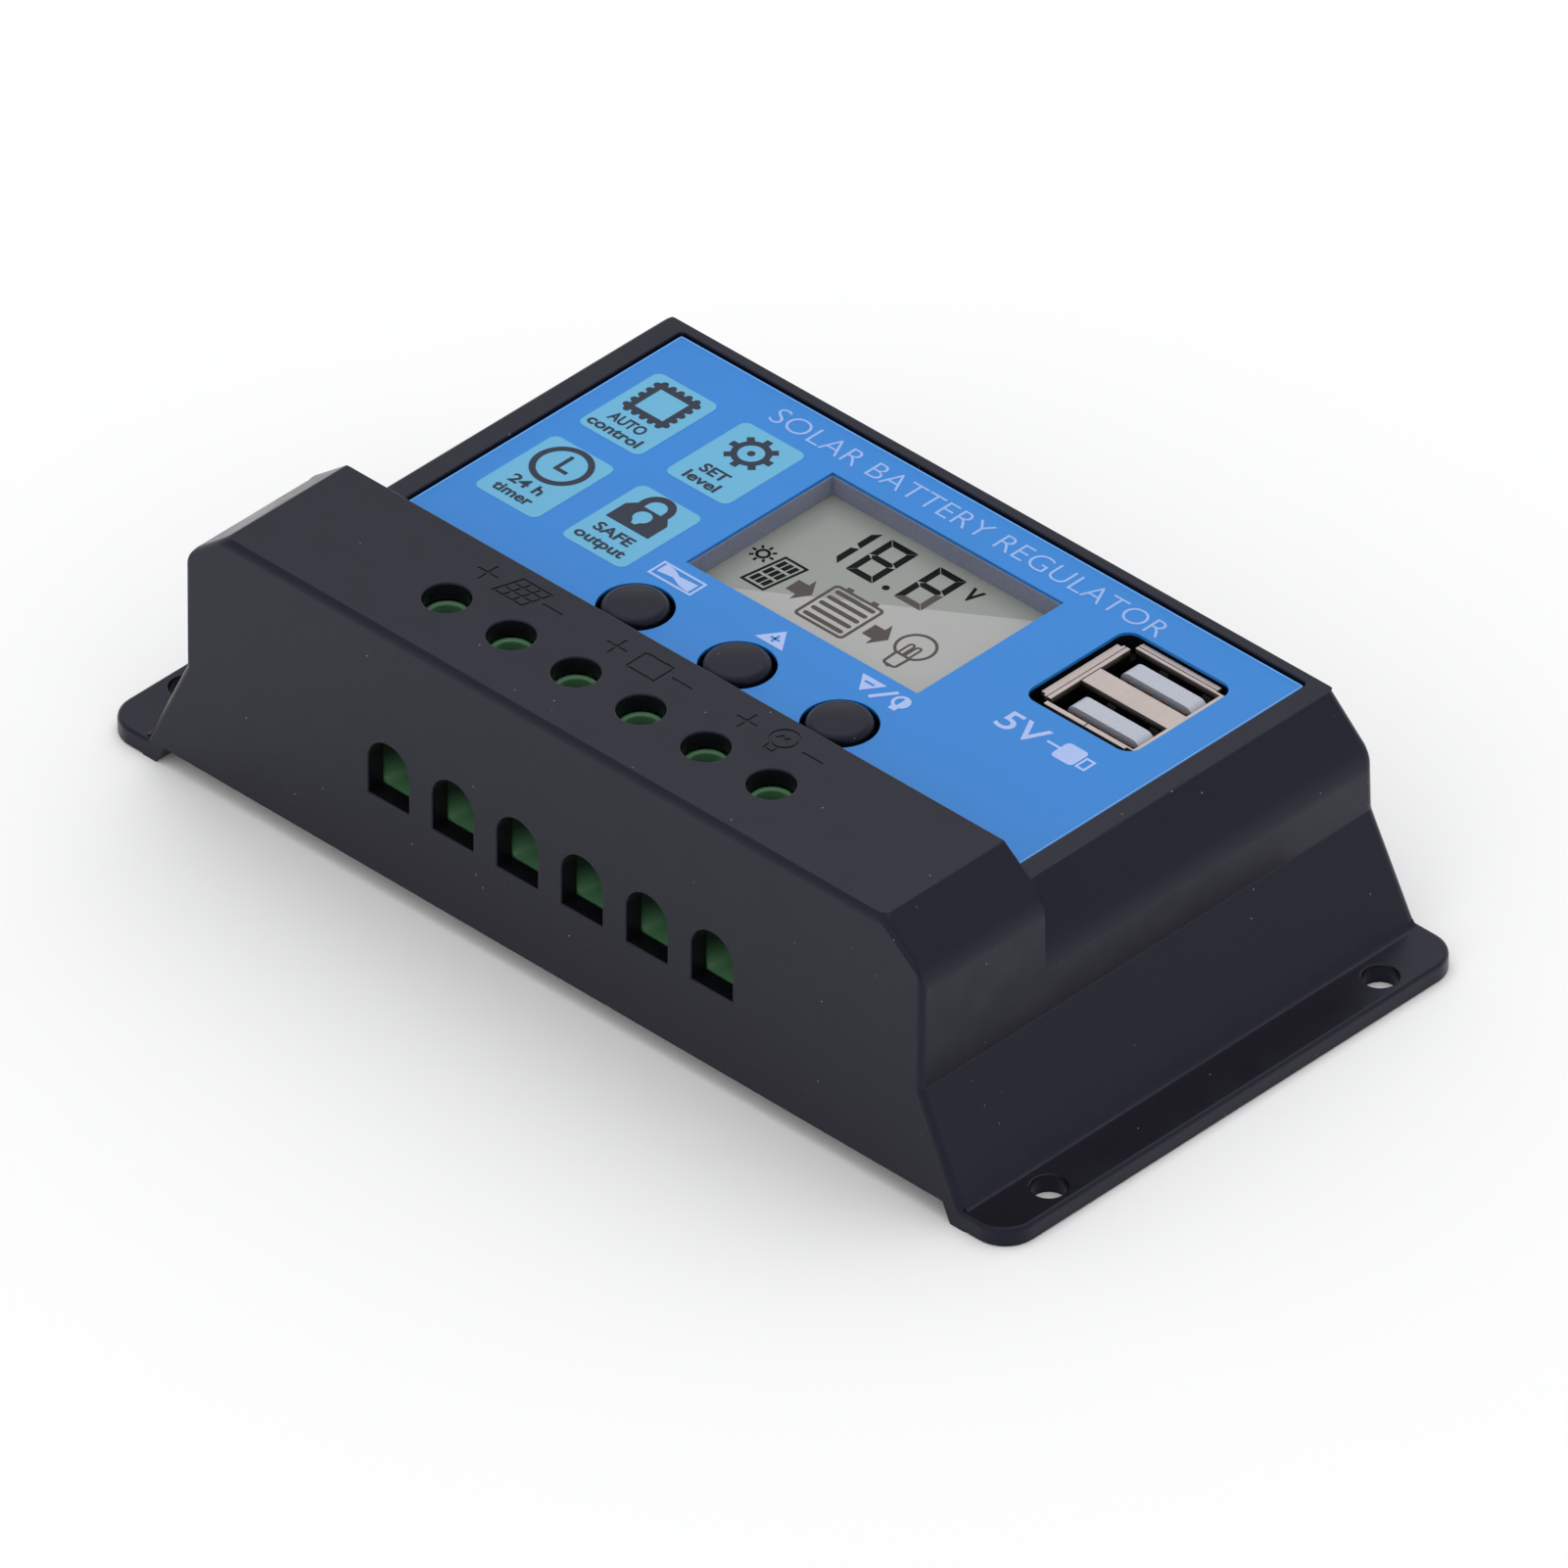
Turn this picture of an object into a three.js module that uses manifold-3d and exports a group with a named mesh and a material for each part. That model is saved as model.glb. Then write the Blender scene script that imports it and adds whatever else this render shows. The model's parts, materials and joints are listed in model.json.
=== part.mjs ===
// Solar charge controller: a moulded case with mounting ears, a raised terminal hump along the front,
// a front label with display window, three push buttons, two USB ports and six screw terminals.
// Millimetres. Origin under the middle of the case: +X along the front, +Y away from the terminals, +Z up.

import * as THREE from 'three';
import { mergeVertices } from 'three/addons/utils/BufferGeometryUtils.js';
import Module from 'manifold-3d';

const wasm = await Module();
wasm.setup();

// ------------------------------------------------------------------ driving dimensions

// Case: overall box, the two top levels and the outline of its ends.
const caseLength = 133.5;
const caseDepth = 70;
const caseHeight = 34.4;
const rimHeight = 27.8;
const humpBack = -15.9;
const earHeight = 2.3;
const footHeight = 2.4; // air gap under the front and back walls, between the ears
const creaseHalf = 60.2; // where the sloped side meets the ear
const creaseZ = 2.2;
const sideHalf = 54.2; // upright part of the side
const slopeTopZ = 14.85;
const humpChamferZ = 29.7;
const humpTopHalf = 48.2;
const rimChamferZ = 22.2;
const rimTopHalf = 48.7;
const frontDraft = 0.5; // how far the front wall leans in over the full height
const backDraft = 1.28;
const frontEdge = { depth: 0.8, drop: 2 }; // broken edge along the top of the front wall

// Case walls.
const sideWall = 2.4;
const endWall = 2.3;
const humpRoof = 2.0;
const deckRoof = 2.0;

// Ears and their mounting holes.
const earCornerR = 4;
const earHoleR = 2;
const earHoleX = 63.6;
const earHoleY = 25.3;

// Front label in its recess.
const recess = { half: 46, back: 32.6, floor: 27 };
const label = { half: 45.74, back: 32.34, thick: 0.4, gap: 0.12 };
const labelWindow = { x0: -16.8, x1: 17.2, y0: 3.2, y1: 25.6 };
const usbCut = { x0: 25.2, x1: 40.9, y0: 10.7, y1: 27, r: 1.8 };

// Buttons.
const buttonX = [-15, 0, 15];
const buttonY = -6.3;
const buttonHoleR = 4.3;
const buttonR = 3.9;
const buttonTravel = 0.3;

// Screw terminals.
const poles = 6;
const pitch = 9.52;
const screwY = -25.7;
const accessHoleR = 2.65;
const slotHalf = 3;
const slotSill = 12.3;
const slotSpring = 16.75; // height at which the arch starts
const blockBack = -19.2;
const blockTop = 30.6;
const blockGap = 0.12; // between two neighbouring blocks
const collar = { r: 2.6, holeR: 1.95, top: 32.2 };
const chamber = { half: 3.75, front: -29.3, back: -21.9, floor: 12.2, top: 27.4 };
const funnel = { half: 3.4, top: 20.2 }; // wire way from the front of a block into its chamber
const barPocket = { half: 2.5, gap: 0.3 };
const headGuide = { r: 2.6, top: 29.9 }; // keeps a screw's head in place under the collar
const solderPin = { x: 1.5, half: 0.5, holeHalf: 0.8, standOff: 0.2 };
const cage = { half: 3.4, depthHalf: 3, bottom: 12.5, top: 22.2, side: 0.8, sill: 1.2, roof: 2 };
const tongue = { bottom: 18.9, thick: 1, half: 2.2, front: -28.2, back: -20.2 };
const screw = { shaftR: 1.7, headR: 2.3, headBottom: 27.5, headTop: 29.6, tip: 20.05, slot: 0.35 };

// Circuit board and the base plate under it.
const board = { half: 51, front: -32, back: 31.8, bottom: 9.7, top: 11.3, notchX: 42, notchY: 23.5 };
const plate = { half: 56, endY: 32.2, bottom: 2.6, top: 3.9 };
const caseBoss = { x: 46, y: 28, r: 3.2, holeR: 1.6, holeTop: 13 };
const boardBoss = { x: 47, y: -6, r: 2.8, holeR: 1.3, holeTop: 18 };

// Display.
const glass = { x0: -17.9, x1: 18.3, y0: 2.2, y1: 26.6, bottom: 23.4, top: 24.6 };
const backlight = { inset: 0.4, bottom: 20.4 };
const holder = { wall: 0.9, gap: 0.3, ringBottom: 18.4, leg: 4, legDepth: 1.6, ledge: 1.2 };

// USB socket, standing on the board with both ports opening upwards. Its edge folds out on the
// left and at the back. The ports and tongues are measured from the middle of the shell.
const usb = { x: 33.45, y: 18.95, halfX: 7, halfY: 7.4, top: 26.8 };
const usbLip = { left: 7.65, back: 7.75, thick: 0.6, endGap: 1.6 };
const port = { x0: -6.01, x1: 6.49, near: 1.45, far: 6.6 };
const usbTongue = { x0: -4.45, x1: 6.15, y: 4.05, thick: 2.3, top: 26.6 };
const usbBase = { top: 14.4, gap: 0.15 };

// ------------------------------------------------------------------ solids

const AXIS = {
  x: new THREE.Matrix4().makeBasis(
    new THREE.Vector3(0, 1, 0), new THREE.Vector3(0, 0, 1), new THREE.Vector3(1, 0, 0)),
  y: new THREE.Matrix4().makeBasis(
    new THREE.Vector3(1, 0, 0), new THREE.Vector3(0, 0, 1), new THREE.Vector3(0, -1, 0)),
};

function solidOf(geometry) {
  const bare = geometry.clone();
  bare.deleteAttribute('normal');
  bare.deleteAttribute('uv');
  const merged = mergeVertices(bare, 1e-4);
  return new wasm.Manifold(new wasm.Mesh({
    numProp: 3,
    vertProperties: new Float32Array(merged.attributes.position.array),
    triVerts: new Uint32Array(merged.index.array),
  }));
}

function geometryOf(solid) {
  const mesh = solid.getMesh();
  const geometry = new THREE.BufferGeometry();
  geometry.setAttribute('position', new THREE.BufferAttribute(mesh.vertProperties, 3));
  geometry.setIndex(new THREE.BufferAttribute(mesh.triVerts, 1));
  geometry.computeVertexNormals();
  return geometry;
}

function box(x0, x1, y0, y1, z0, z1) {
  const geometry = new THREE.BoxGeometry(x1 - x0, y1 - y0, z1 - z0);
  geometry.translate((x0 + x1) / 2, (y0 + y1) / 2, (z0 + z1) / 2);
  return solidOf(geometry);
}

function rod(x, y, r, z0, z1, segments = 16) {
  const geometry = new THREE.CylinderGeometry(r, r, z1 - z0, segments);
  geometry.rotateX(Math.PI / 2);
  geometry.translate(x, y, (z0 + z1) / 2);
  return solidOf(geometry);
}

// A body of revolution about Z from [radius, height] pairs that start and end on the axis.
function turned(profile, segments = 24) {
  const geometry = new THREE.LatheGeometry(profile.map(([r, z]) => new THREE.Vector2(r, z)), segments);
  geometry.rotateX(Math.PI / 2);
  return solidOf(geometry);
}

function outline(points) {
  return new THREE.Shape(points.map(([u, v]) => new THREE.Vector2(u, v)));
}

function extrude(shape, depth, curveSegments = 6) {
  return new THREE.ExtrudeGeometry(shape, { depth, bevelEnabled: false, curveSegments });
}

function prismZ(shape, z0, z1, curveSegments) {
  const geometry = extrude(shape, z1 - z0, curveSegments);
  geometry.translate(0, 0, z0);
  return solidOf(geometry);
}

// An outline drawn in X and Z, swept along Y.
function prismY(shape, y0, y1, curveSegments) {
  const geometry = extrude(shape, y1 - y0, curveSegments);
  geometry.applyMatrix4(AXIS.y);
  geometry.translate(0, y1, 0);
  return solidOf(geometry);
}

// An outline drawn in Y and Z, swept along X.
function prismX(shape, x0, x1) {
  const geometry = extrude(shape, x1 - x0);
  geometry.applyMatrix4(AXIS.x);
  geometry.translate(x0, 0, 0);
  return solidOf(geometry);
}

function roundedRect(x0, x1, y0, y1, r) {
  const shape = new THREE.Shape();
  shape.moveTo(x0 + r, y0);
  shape.lineTo(x1 - r, y0);
  shape.absarc(x1 - r, y0 + r, r, -Math.PI / 2, 0);
  shape.lineTo(x1, y1 - r);
  shape.absarc(x1 - r, y1 - r, r, 0, Math.PI / 2);
  shape.lineTo(x0 + r, y1);
  shape.absarc(x0 + r, y1 - r, r, Math.PI / 2, Math.PI);
  shape.lineTo(x0, y0 + r);
  shape.absarc(x0 + r, y0 + r, r, Math.PI, 1.5 * Math.PI);
  return shape;
}

function union(...solids) {
  return solids.flat().reduce((sum, solid) => sum.add(solid));
}

function cut(solid, ...tools) {
  return tools.flat().reduce((rest, tool) => rest.subtract(tool), solid);
}

// ------------------------------------------------------------------ the assembly

const controller = new THREE.Group();

const finish = (color, roughness, metalness = 0) => () =>
  new THREE.MeshStandardMaterial({ color, roughness, metalness });

const FINISH = {
  housing: finish(0x34353c, 0.62),
  label: finish(0x4086d6, 0.45),
  plate: finish(0x8d9094, 0.45, 0.9),
  steel: finish(0xb9bcc0, 0.35, 1),
  glass: finish(0xa6aaa4, 0.15),
  diffuser: finish(0xe8ebe6, 0.5),
  holder: finish(0xdcdcd8, 0.6),
  button: finish(0x1e1f24, 0.5),
  chip: finish(0x1b1b1d, 0.55),
  board: finish(0x1f5b34, 0.5),
  terminal: finish(0x2f7a3c, 0.5),
  brass: finish(0xc9a45a, 0.35, 1),
  shell: finish(0xcfcac6, 0.3, 1),
  insulator: finish(0xb9bfc9, 0.5),
  sleeve: finish(0x202a4a, 0.4),
  ferrite: finish(0x3a3735, 0.7),
  pad: finish(0x9aa3ad, 0.8),
};

function add(name, shape, look, position = [0, 0, 0]) {
  const geometry = shape.isBufferGeometry ? shape : geometryOf(shape);
  const mesh = new THREE.Mesh(geometry, FINISH[look]());
  mesh.name = name;
  mesh.position.set(...position);
  controller.add(mesh);
}

// ------------------------------------------------------------------ case outlines

// Half-width of the case's outer side at a height, and where its leaning front and back walls are.
const slopeRun = (creaseHalf - sideHalf) / (slopeTopZ - creaseZ);
const sideAt = (z) => sideHalf + Math.max(0, slopeTopZ - z) * slopeRun;
const frontAt = (z) => (z * frontDraft) / caseHeight - caseDepth / 2;
const backAt = (z) => caseDepth / 2 - (z * backDraft) / caseHeight;

// Both halves of a symmetrical end outline, from its right-hand points listed bottom to top.
function mirrored(right) {
  return [...right, ...right.map(([x, z]) => [-x, z]).reverse()];
}

// The same convex outline, each edge moved inwards by its own wall thickness.
function inset(points, wallOf) {
  const edges = points.map((p, i) => {
    const q = points[(i + 1) % points.length];
    const length = Math.hypot(q[0] - p[0], q[1] - p[1]);
    const normal = [-(q[1] - p[1]) / length, (q[0] - p[0]) / length];
    return { normal, offset: normal[0] * p[0] + normal[1] * p[1] + wallOf(p, q) };
  });
  return edges.map((b, i) => {
    const a = edges[(i + edges.length - 1) % edges.length];
    const det = a.normal[0] * b.normal[1] - a.normal[1] * b.normal[0];
    return [
      (a.offset * b.normal[1] - b.offset * a.normal[1]) / det,
      (a.normal[0] * b.offset - b.normal[0] * a.offset) / det,
    ];
  });
}

function endOutline(chamferZ, topHalf, top) {
  return mirrored([[sideAt(0), 0], [sideHalf, slopeTopZ], [sideHalf, chamferZ], [topHalf, top]]);
}

function depthOutline(back, top, edge) {
  const topFront = edge
    ? [[frontAt(top) + edge.depth, top], [frontAt(top - edge.drop), top - edge.drop]]
    : [[frontAt(top), top]];
  return [[frontAt(0), 0], [back ?? backAt(0), 0], [back ?? backAt(top), top], ...topFront];
}

// One level of the case, solid or hollow: its end outline and its depth outline crossed.
function level(end, depth) {
  const long = prismY(outline(end), -caseDepth, caseDepth);
  return long.intersect(prismX(outline(depth), -caseLength, caseLength));
}

const humpEnd = endOutline(humpChamferZ, humpTopHalf, caseHeight);
const deckEnd = endOutline(rimChamferZ, rimTopHalf, rimHeight);
const humpDepth = depthOutline(humpBack, caseHeight);
const deckDepth = depthOutline(null, rimHeight);
const humpRoofZ = caseHeight - humpRoof;
const deckRoofZ = recess.floor - deckRoof;

// Inner faces: the foot stays open, so the lower edge moves outwards, past the case.
const isFoot = (p, q) => p[1] === 0 && q[1] === 0;
const isTop = (p, q) => p[1] === q[1] && p[1] > 0;

function hollow(end, depth, roof) {
  const wall = (side) => (p, q) => {
    if (isFoot(p, q)) return -1;
    return isTop(p, q) ? roof : side;
  };
  return level(inset(end, wall(sideWall)), inset(depth, wall(endWall)));
}

// ------------------------------------------------------------------ housing

function earPlate() {
  const shape = roundedRect(-caseLength / 2, caseLength / 2, -caseDepth / 2, caseDepth / 2, earCornerR);
  return prismZ(shape, 0, earHeight, 5);
}

function wireSlot(x) {
  const shape = new THREE.Shape();
  shape.moveTo(x - slotHalf, slotSill);
  shape.lineTo(x + slotHalf, slotSill);
  shape.lineTo(x + slotHalf, slotSpring);
  shape.absarc(x, slotSpring, slotHalf, 0, Math.PI);
  return prismY(shape, -caseDepth, -caseDepth / 2 + 6, 10);
}

const poleX = Array.from({ length: poles }, (_, i) => (i - (poles - 1) / 2) * pitch);
const corners = (x, y) => [[x, y], [-x, y], [-x, -y], [x, -y]];

function windowTool(z0, z1) {
  return box(labelWindow.x0, labelWindow.x1, labelWindow.y0, labelWindow.y1, z0, z1);
}

function usbTool(z0, z1) {
  return prismZ(roundedRect(usbCut.x0, usbCut.x1, usbCut.y0, usbCut.y1, usbCut.r), z0, z1, 5);
}

function buttonTools(z0, z1) {
  return buttonX.map((x) => rod(x, buttonY, buttonHoleR, z0, z1, 28));
}

function housing() {
  const recessTool = box(-recess.half, recess.half, humpBack - 2, recess.back, recess.floor, caseHeight);
  const deck = cut(level(deckEnd, deckDepth), recessTool);
  const hump = level(humpEnd, depthOutline(humpBack, caseHeight, frontEdge));
  const outer = union(deck, hump, earPlate());
  const footHalf = (z) => sideAt(z) - sideWall * Math.hypot(1, slopeRun);
  const channel = mirrored([[footHalf(-1), -1], [footHalf(footHeight), footHeight]]);
  const shell = cut(
    outer,
    hollow(deckEnd, deckDepth, rimHeight - deckRoofZ),
    hollow(humpEnd, humpDepth, humpRoof),
    prismY(outline(channel), -caseDepth, caseDepth),
  );
  const bosses = [
    ...corners(caseBoss.x, caseBoss.y).map(([x, y]) =>
      rod(x, y, caseBoss.r, plate.top, (y < 0 ? humpRoofZ : deckRoofZ) + 1, 12)),
    ...[-boardBoss.x, boardBoss.x].map((x) =>
      rod(x, boardBoss.y, boardBoss.r, board.top, deckRoofZ + 1, 12)),
  ];
  const pilots = [
    ...corners(caseBoss.x, caseBoss.y).map(([x, y]) =>
      rod(x, y, caseBoss.holeR, 0, caseBoss.holeTop, 10)),
    ...[-boardBoss.x, boardBoss.x].map((x) =>
      rod(x, boardBoss.y, boardBoss.holeR, 0, boardBoss.holeTop, 10)),
  ];
  return cut(
    union(shell, bosses),
    pilots,
    windowTool(20, caseHeight),
    usbTool(20, caseHeight),
    buttonTools(20, caseHeight),
    poleX.map((x) => wireSlot(x)),
    poleX.map((x) => rod(x, screwY, accessHoleR, humpRoofZ - 1, caseHeight + 1, 20)),
    corners(earHoleX, earHoleY).map(([x, y]) => rod(x, y, earHoleR, -1, earHeight + 1)),
  );
}

// ------------------------------------------------------------------ cover pieces

function frontLabel() {
  const z0 = recess.floor;
  const z1 = recess.floor + label.thick;
  const sheet = box(-label.half, label.half, humpBack + label.gap, label.back, z0, z1);
  return cut(sheet, windowTool(z0 - 1, z1 + 1), usbTool(z0 - 1, z1 + 1), buttonTools(z0 - 1, z1 + 1));
}

function basePlate() {
  const sheet = box(-plate.half, plate.half, -plate.endY, plate.endY, plate.bottom, plate.top);
  return cut(sheet, corners(caseBoss.x, caseBoss.y).map(([x, y]) =>
    rod(x, y, caseBoss.holeR, plate.bottom - 1, plate.top + 1, 12)));
}

// A pan-head screw with a cross recess, pointing up, its head's bearing face at z = 0.
function panScrew(shaftR, headR, headHeight, length, segments = 12) {
  const body = turned([
    [0, -headHeight], [headR * 0.7, -headHeight], [headR, -headHeight * 0.45], [headR, 0],
    [shaftR, 0], [shaftR, length - shaftR], [shaftR * 0.4, length], [0, length],
  ], segments);
  const arm = headR * 0.6;
  const width = headR * 0.14;
  const depth = -headHeight * 0.45;
  return cut(
    body,
    box(-arm, arm, -width, width, -headHeight - 1, depth),
    box(-width, width, -arm, arm, -headHeight - 1, depth),
  );
}

// ------------------------------------------------------------------ buttons

function buttonCap() {
  const stemHole = 1.9;
  return turned([
    [0, 25.4], [stemHole, 25.4], [stemHole, 23.2], [4.7, 23.2], [4.7, 24.2],
    [buttonR, 24.2], [buttonR, 27.6], [buttonR - 0.35, 28], [2.4, 28.3], [0, 28.4],
  ], 20);
}

const stemBottom = 14;

function switchStem() {
  return turned([[0, stemBottom], [1.6, stemBottom], [1.6, 25.2], [0, 25.2]], 10);
}

function switchBody() {
  const body = box(-3, 3, -3, 3, board.top, board.top + 3.4);
  const cap = rod(0, 0, 2.5, board.top + 3, board.top + 3.7, 12);
  const legs = [-3.4, 3.4].flatMap((x) => [-2.25, 2.25].map((y) =>
    box(x - 0.6, x + 0.6, y - 0.35, y + 0.35, board.top, board.top + 0.5)));
  const well = rod(0, 0, 1.9, stemBottom - buttonTravel - 0.3, stemBottom + 2, 12);
  return cut(union(body, cap, legs), well);
}

// ------------------------------------------------------------------ screw terminals

// The front face of a block follows the lean of the case's front wall, a little behind it.
const blockFrontAt = (z) => frontAt(z) + endWall + 0.2;

function terminalBlock() {
  const half = pitch - blockGap;
  const side = outline([
    [blockFrontAt(board.top), board.top], [blockBack, board.top],
    [blockBack, blockTop], [blockFrontAt(blockTop), blockTop],
  ]);
  const cells = [-pitch / 2, pitch / 2].flatMap((x) => [
    box(x - chamber.half, x + chamber.half, chamber.front, chamber.back, chamber.floor, chamber.top),
    box(x - funnel.half, x + funnel.half, -caseDepth / 2, chamber.front + 1, chamber.floor, funnel.top),
    box(x - barPocket.half, x + barPocket.half, chamber.back - 1, tongue.back + barPocket.gap,
      board.top - 1, funnel.top),
    rod(x, screwY, headGuide.r, chamber.top - 1, headGuide.top, 12),
    rod(x, screwY, collar.holeR, chamber.top, collar.top + 1, 16),
  ]);
  const collars = [-pitch / 2, pitch / 2].map((x) =>
    rod(x, screwY, collar.r, blockTop - 1, collar.top, 20));
  return cut(union(prismX(side, -half, half), collars), cells);
}

// The fixed current bar that the wire is pressed against, bent down to two solder pins.
function contactBar() {
  const z1 = tongue.bottom + tongue.thick;
  const bend = tongue.back - tongue.thick;
  const side = outline([
    [tongue.front, tongue.bottom], [bend, tongue.bottom], [bend, board.top + solderPin.standOff],
    [tongue.back, board.top + solderPin.standOff], [tongue.back, z1], [tongue.front, z1],
  ]);
  const pins = [-solderPin.x, solderPin.x].map((x) =>
    box(x - solderPin.half, x + solderPin.half, bend, tongue.back, board.bottom - 1, board.top + 0.5));
  return union(prismX(side, -tongue.half, tongue.half), pins);
}

// The cage that the screw lifts, closing the wire against the current bar.
function clampCage() {
  const frame = box(-cage.half, cage.half, -cage.depthHalf, cage.depthHalf, cage.bottom, cage.top);
  const inside = cage.half - cage.side;
  const through = cage.depthHalf + 1;
  return cut(
    frame,
    box(-inside, inside, -through, through, cage.bottom + cage.sill, cage.top - cage.roof),
    rod(0, 0, screw.shaftR + 0.3, cage.top - cage.roof - 1, cage.top + 1, 16),
  );
}

function terminalScrew() {
  const { shaftR, headR, headBottom, headTop, tip, slot } = screw;
  const body = turned([
    [0, tip], [shaftR * 0.6, tip], [shaftR, tip + 0.8], [shaftR, headBottom], [headR, headBottom],
    [headR, headTop - 0.3], [headR - 0.3, headTop], [0, headTop],
  ], 12);
  return cut(
    body,
    box(-headR - 1, headR + 1, -slot, slot, headTop - 1, headTop + 1),
    box(-slot, slot, -1.5, 1.5, headTop - 1, headTop + 1),
  );
}

// ------------------------------------------------------------------ display

function lcdPanel(z0, z1, margin) {
  return box(glass.x0 + margin, glass.x1 - margin, glass.y0 + margin, glass.y1 - margin, z0, z1);
}

function lcdHolder() {
  const { wall, gap, ringBottom, leg, legDepth, ledge } = holder;
  const out = -gap - wall;
  const ring = cut(
    lcdPanel(ringBottom, glass.bottom, out),
    lcdPanel(backlight.bottom, glass.top, -gap),
    lcdPanel(ringBottom - 1, glass.top, ledge),
  );
  const setIn = 0.2 - gap - wall; // the legs stand a little inside the ring's outer faces
  const legX = [glass.x0 + setIn, glass.x1 - setIn - leg];
  const legY = [glass.y0 + setIn, glass.y1 - setIn - legDepth];
  const legs = legX.flatMap((x) => legY.map((y) =>
    box(x, x + leg, y, y + legDepth, board.top, ringBottom + 1)));
  return union(ring, legs);
}

// Display connector: a bar with a row of pins that reach from the board up to the glass.
function lcdPins() {
  const count = 12;
  const step = 2.54;
  const pinHalf = 0.3;
  const barHalf = 1.1;
  const y = glass.y0 - 2.6;
  const half = (count * step) / 2;
  const pins = Array.from({ length: count }, (_, i) => {
    const x = (i - (count - 1) / 2) * step;
    return box(x - pinHalf, x + pinHalf, y - pinHalf, y + pinHalf, board.top, glass.bottom - 0.8);
  });
  return union(box(-half, half, y - barHalf, y + barHalf, board.top, board.top + 2.4), pins);
}

// ------------------------------------------------------------------ USB socket

function usbShell() {
  const { halfX, halfY, top } = usb;
  const { left, back, thick, endGap } = usbLip;
  const body = box(-halfX, halfX, -halfY, halfY, board.top, top);
  const lips = [
    box(-left, 0, endGap - halfY, halfY - endGap, top - thick, top),
    box(endGap - halfX, halfX - endGap, 0, back, top - thick, top),
  ];
  const ports = [-1, 1].map((s) => {
    const edges = [s * port.near, s * port.far].sort((a, b) => a - b);
    return box(port.x0, port.x1, ...edges, usbBase.top - 1, top + 1);
  });
  const foot = box(port.x0, port.x1, -port.far, port.far, board.top - 1, usbBase.top + usbBase.gap);
  return cut(union(body, lips), ports, foot);
}

function usbInsulator() {
  const { gap, top } = usbBase;
  const base = box(port.x0 + gap, port.x1 - gap, gap - port.far, port.far - gap, board.top, top);
  const tongues = [-usbTongue.y, usbTongue.y].map((y) => box(
    usbTongue.x0, usbTongue.x1, y - usbTongue.thick / 2, y + usbTongue.thick / 2,
    top - 1, usbTongue.top));
  return union(base, tongues);
}

// ------------------------------------------------------------------ circuit board and its parts

function mainBoard() {
  const sheet = box(-board.half, board.half, board.front, board.back, board.bottom, board.top);
  const notches = corners(board.notchX, board.notchY).map(([x, y]) => box(
    Math.min(x, x * 2), Math.max(x, x * 2), Math.min(y, y * 2), Math.max(y, y * 2),
    board.bottom - 1, board.top + 1));
  const pinY = tongue.back - tongue.thick / 2;
  const reach = solderPin.holeHalf;
  const pinHoles = poleX.flatMap((x) => [x - solderPin.x, x + solderPin.x].map((pinX) => box(
    pinX - reach, pinX + reach, pinY - reach, pinY + reach, board.bottom - 1, board.top + 1)));
  const screwHoles = [-boardBoss.x, boardBoss.x].map((x) =>
    rod(x, boardBoss.y, 1.7, board.bottom - 1, board.top + 1, 16));
  return cut(sheet, notches, pinHoles, screwHoles);
}

// A can capacitor with its base groove, standing on the board.
function capacitor(r, height) {
  return turned([
    [0, 0], [r, 0], [r, 1.2], [r * 0.92, 1.6], [r, 2], [r, height - 0.5],
    [r - 0.5, height], [r * 0.75, height], [r * 0.75, height - 0.2], [0, height - 0.2],
  ], 16);
}

function inductor() {
  const base = box(-6, 6, -6, 6, 0, 1);
  const drum = turned([
    [0, 0.5], [5.6, 0.5], [5.6, 2], [4.8, 2.3], [4.8, 6], [5.6, 6.3], [5.6, 7.6], [0, 7.6],
  ], 16);
  return union(base, drum);
}

// A surface-mounted chip: body and two rows of flat legs, each row's legs crossing under the body.
function chip(half, depthHalf, height, legs, step) {
  const body = box(-half, half, -depthHalf, depthHalf, 0.15, height);
  const reach = depthHalf + 1.1;
  const pins = Array.from({ length: legs }, (_, i) => {
    const x = (i - (legs - 1) / 2) * step;
    return box(x - 0.2, x + 0.2, -reach, reach, 0, 0.3);
  });
  return union(body, pins);
}

// A power transistor lying flat: tab on the thermal pad, three leads bent up to the board.
function transistor() {
  const half = 5;
  const bodyFront = -9;
  const tabThick = 1.3;
  const leadPitch = 2.54;
  const leadHalf = 0.4;
  const body = box(-half, half, bodyFront, 0, 0, 4.4);
  const tab = cut(box(-half, half, -1, 6.4, 0, tabThick), rod(0, 3.2, 1.9, -1, tabThick + 1, 16));
  const leads = [-leadPitch, 0, leadPitch].map((x) => prismX(outline([
    [bodyFront + 0.2, 2.2], [-13, 2.2], [-13, 5.4], [-12.4, 5.4], [-12.4, 2.8], [bodyFront + 0.2, 2.8],
  ]), x - leadHalf, x + leadHalf));
  return union(body, tab, leads);
}

// The current shunt: a bridge of resistance strip.
function shunt() {
  return prismY(outline([
    [-6, 0], [-4.6, 0], [-4.6, 1.8], [4.6, 1.8], [4.6, 0], [6, 0],
    [6, 0.3], [5.2, 0.3], [5.2, 2.4], [-5.2, 2.4], [-5.2, 0.3], [-6, 0.3],
  ]), -1.5, 1.5);
}

// ------------------------------------------------------------------ placing every piece

add('housing', housing(), 'housing');
add('front_label', frontLabel(), 'label');
add('base_plate', basePlate(), 'plate');

const caseScrew = geometryOf(panScrew(1.3, 2.7, 1.6, 9));
corners(caseBoss.x, caseBoss.y).forEach(([x, y], i) =>
  add(`case_screw_${i + 1}`, caseScrew, 'steel', [x, y, plate.bottom]));

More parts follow.
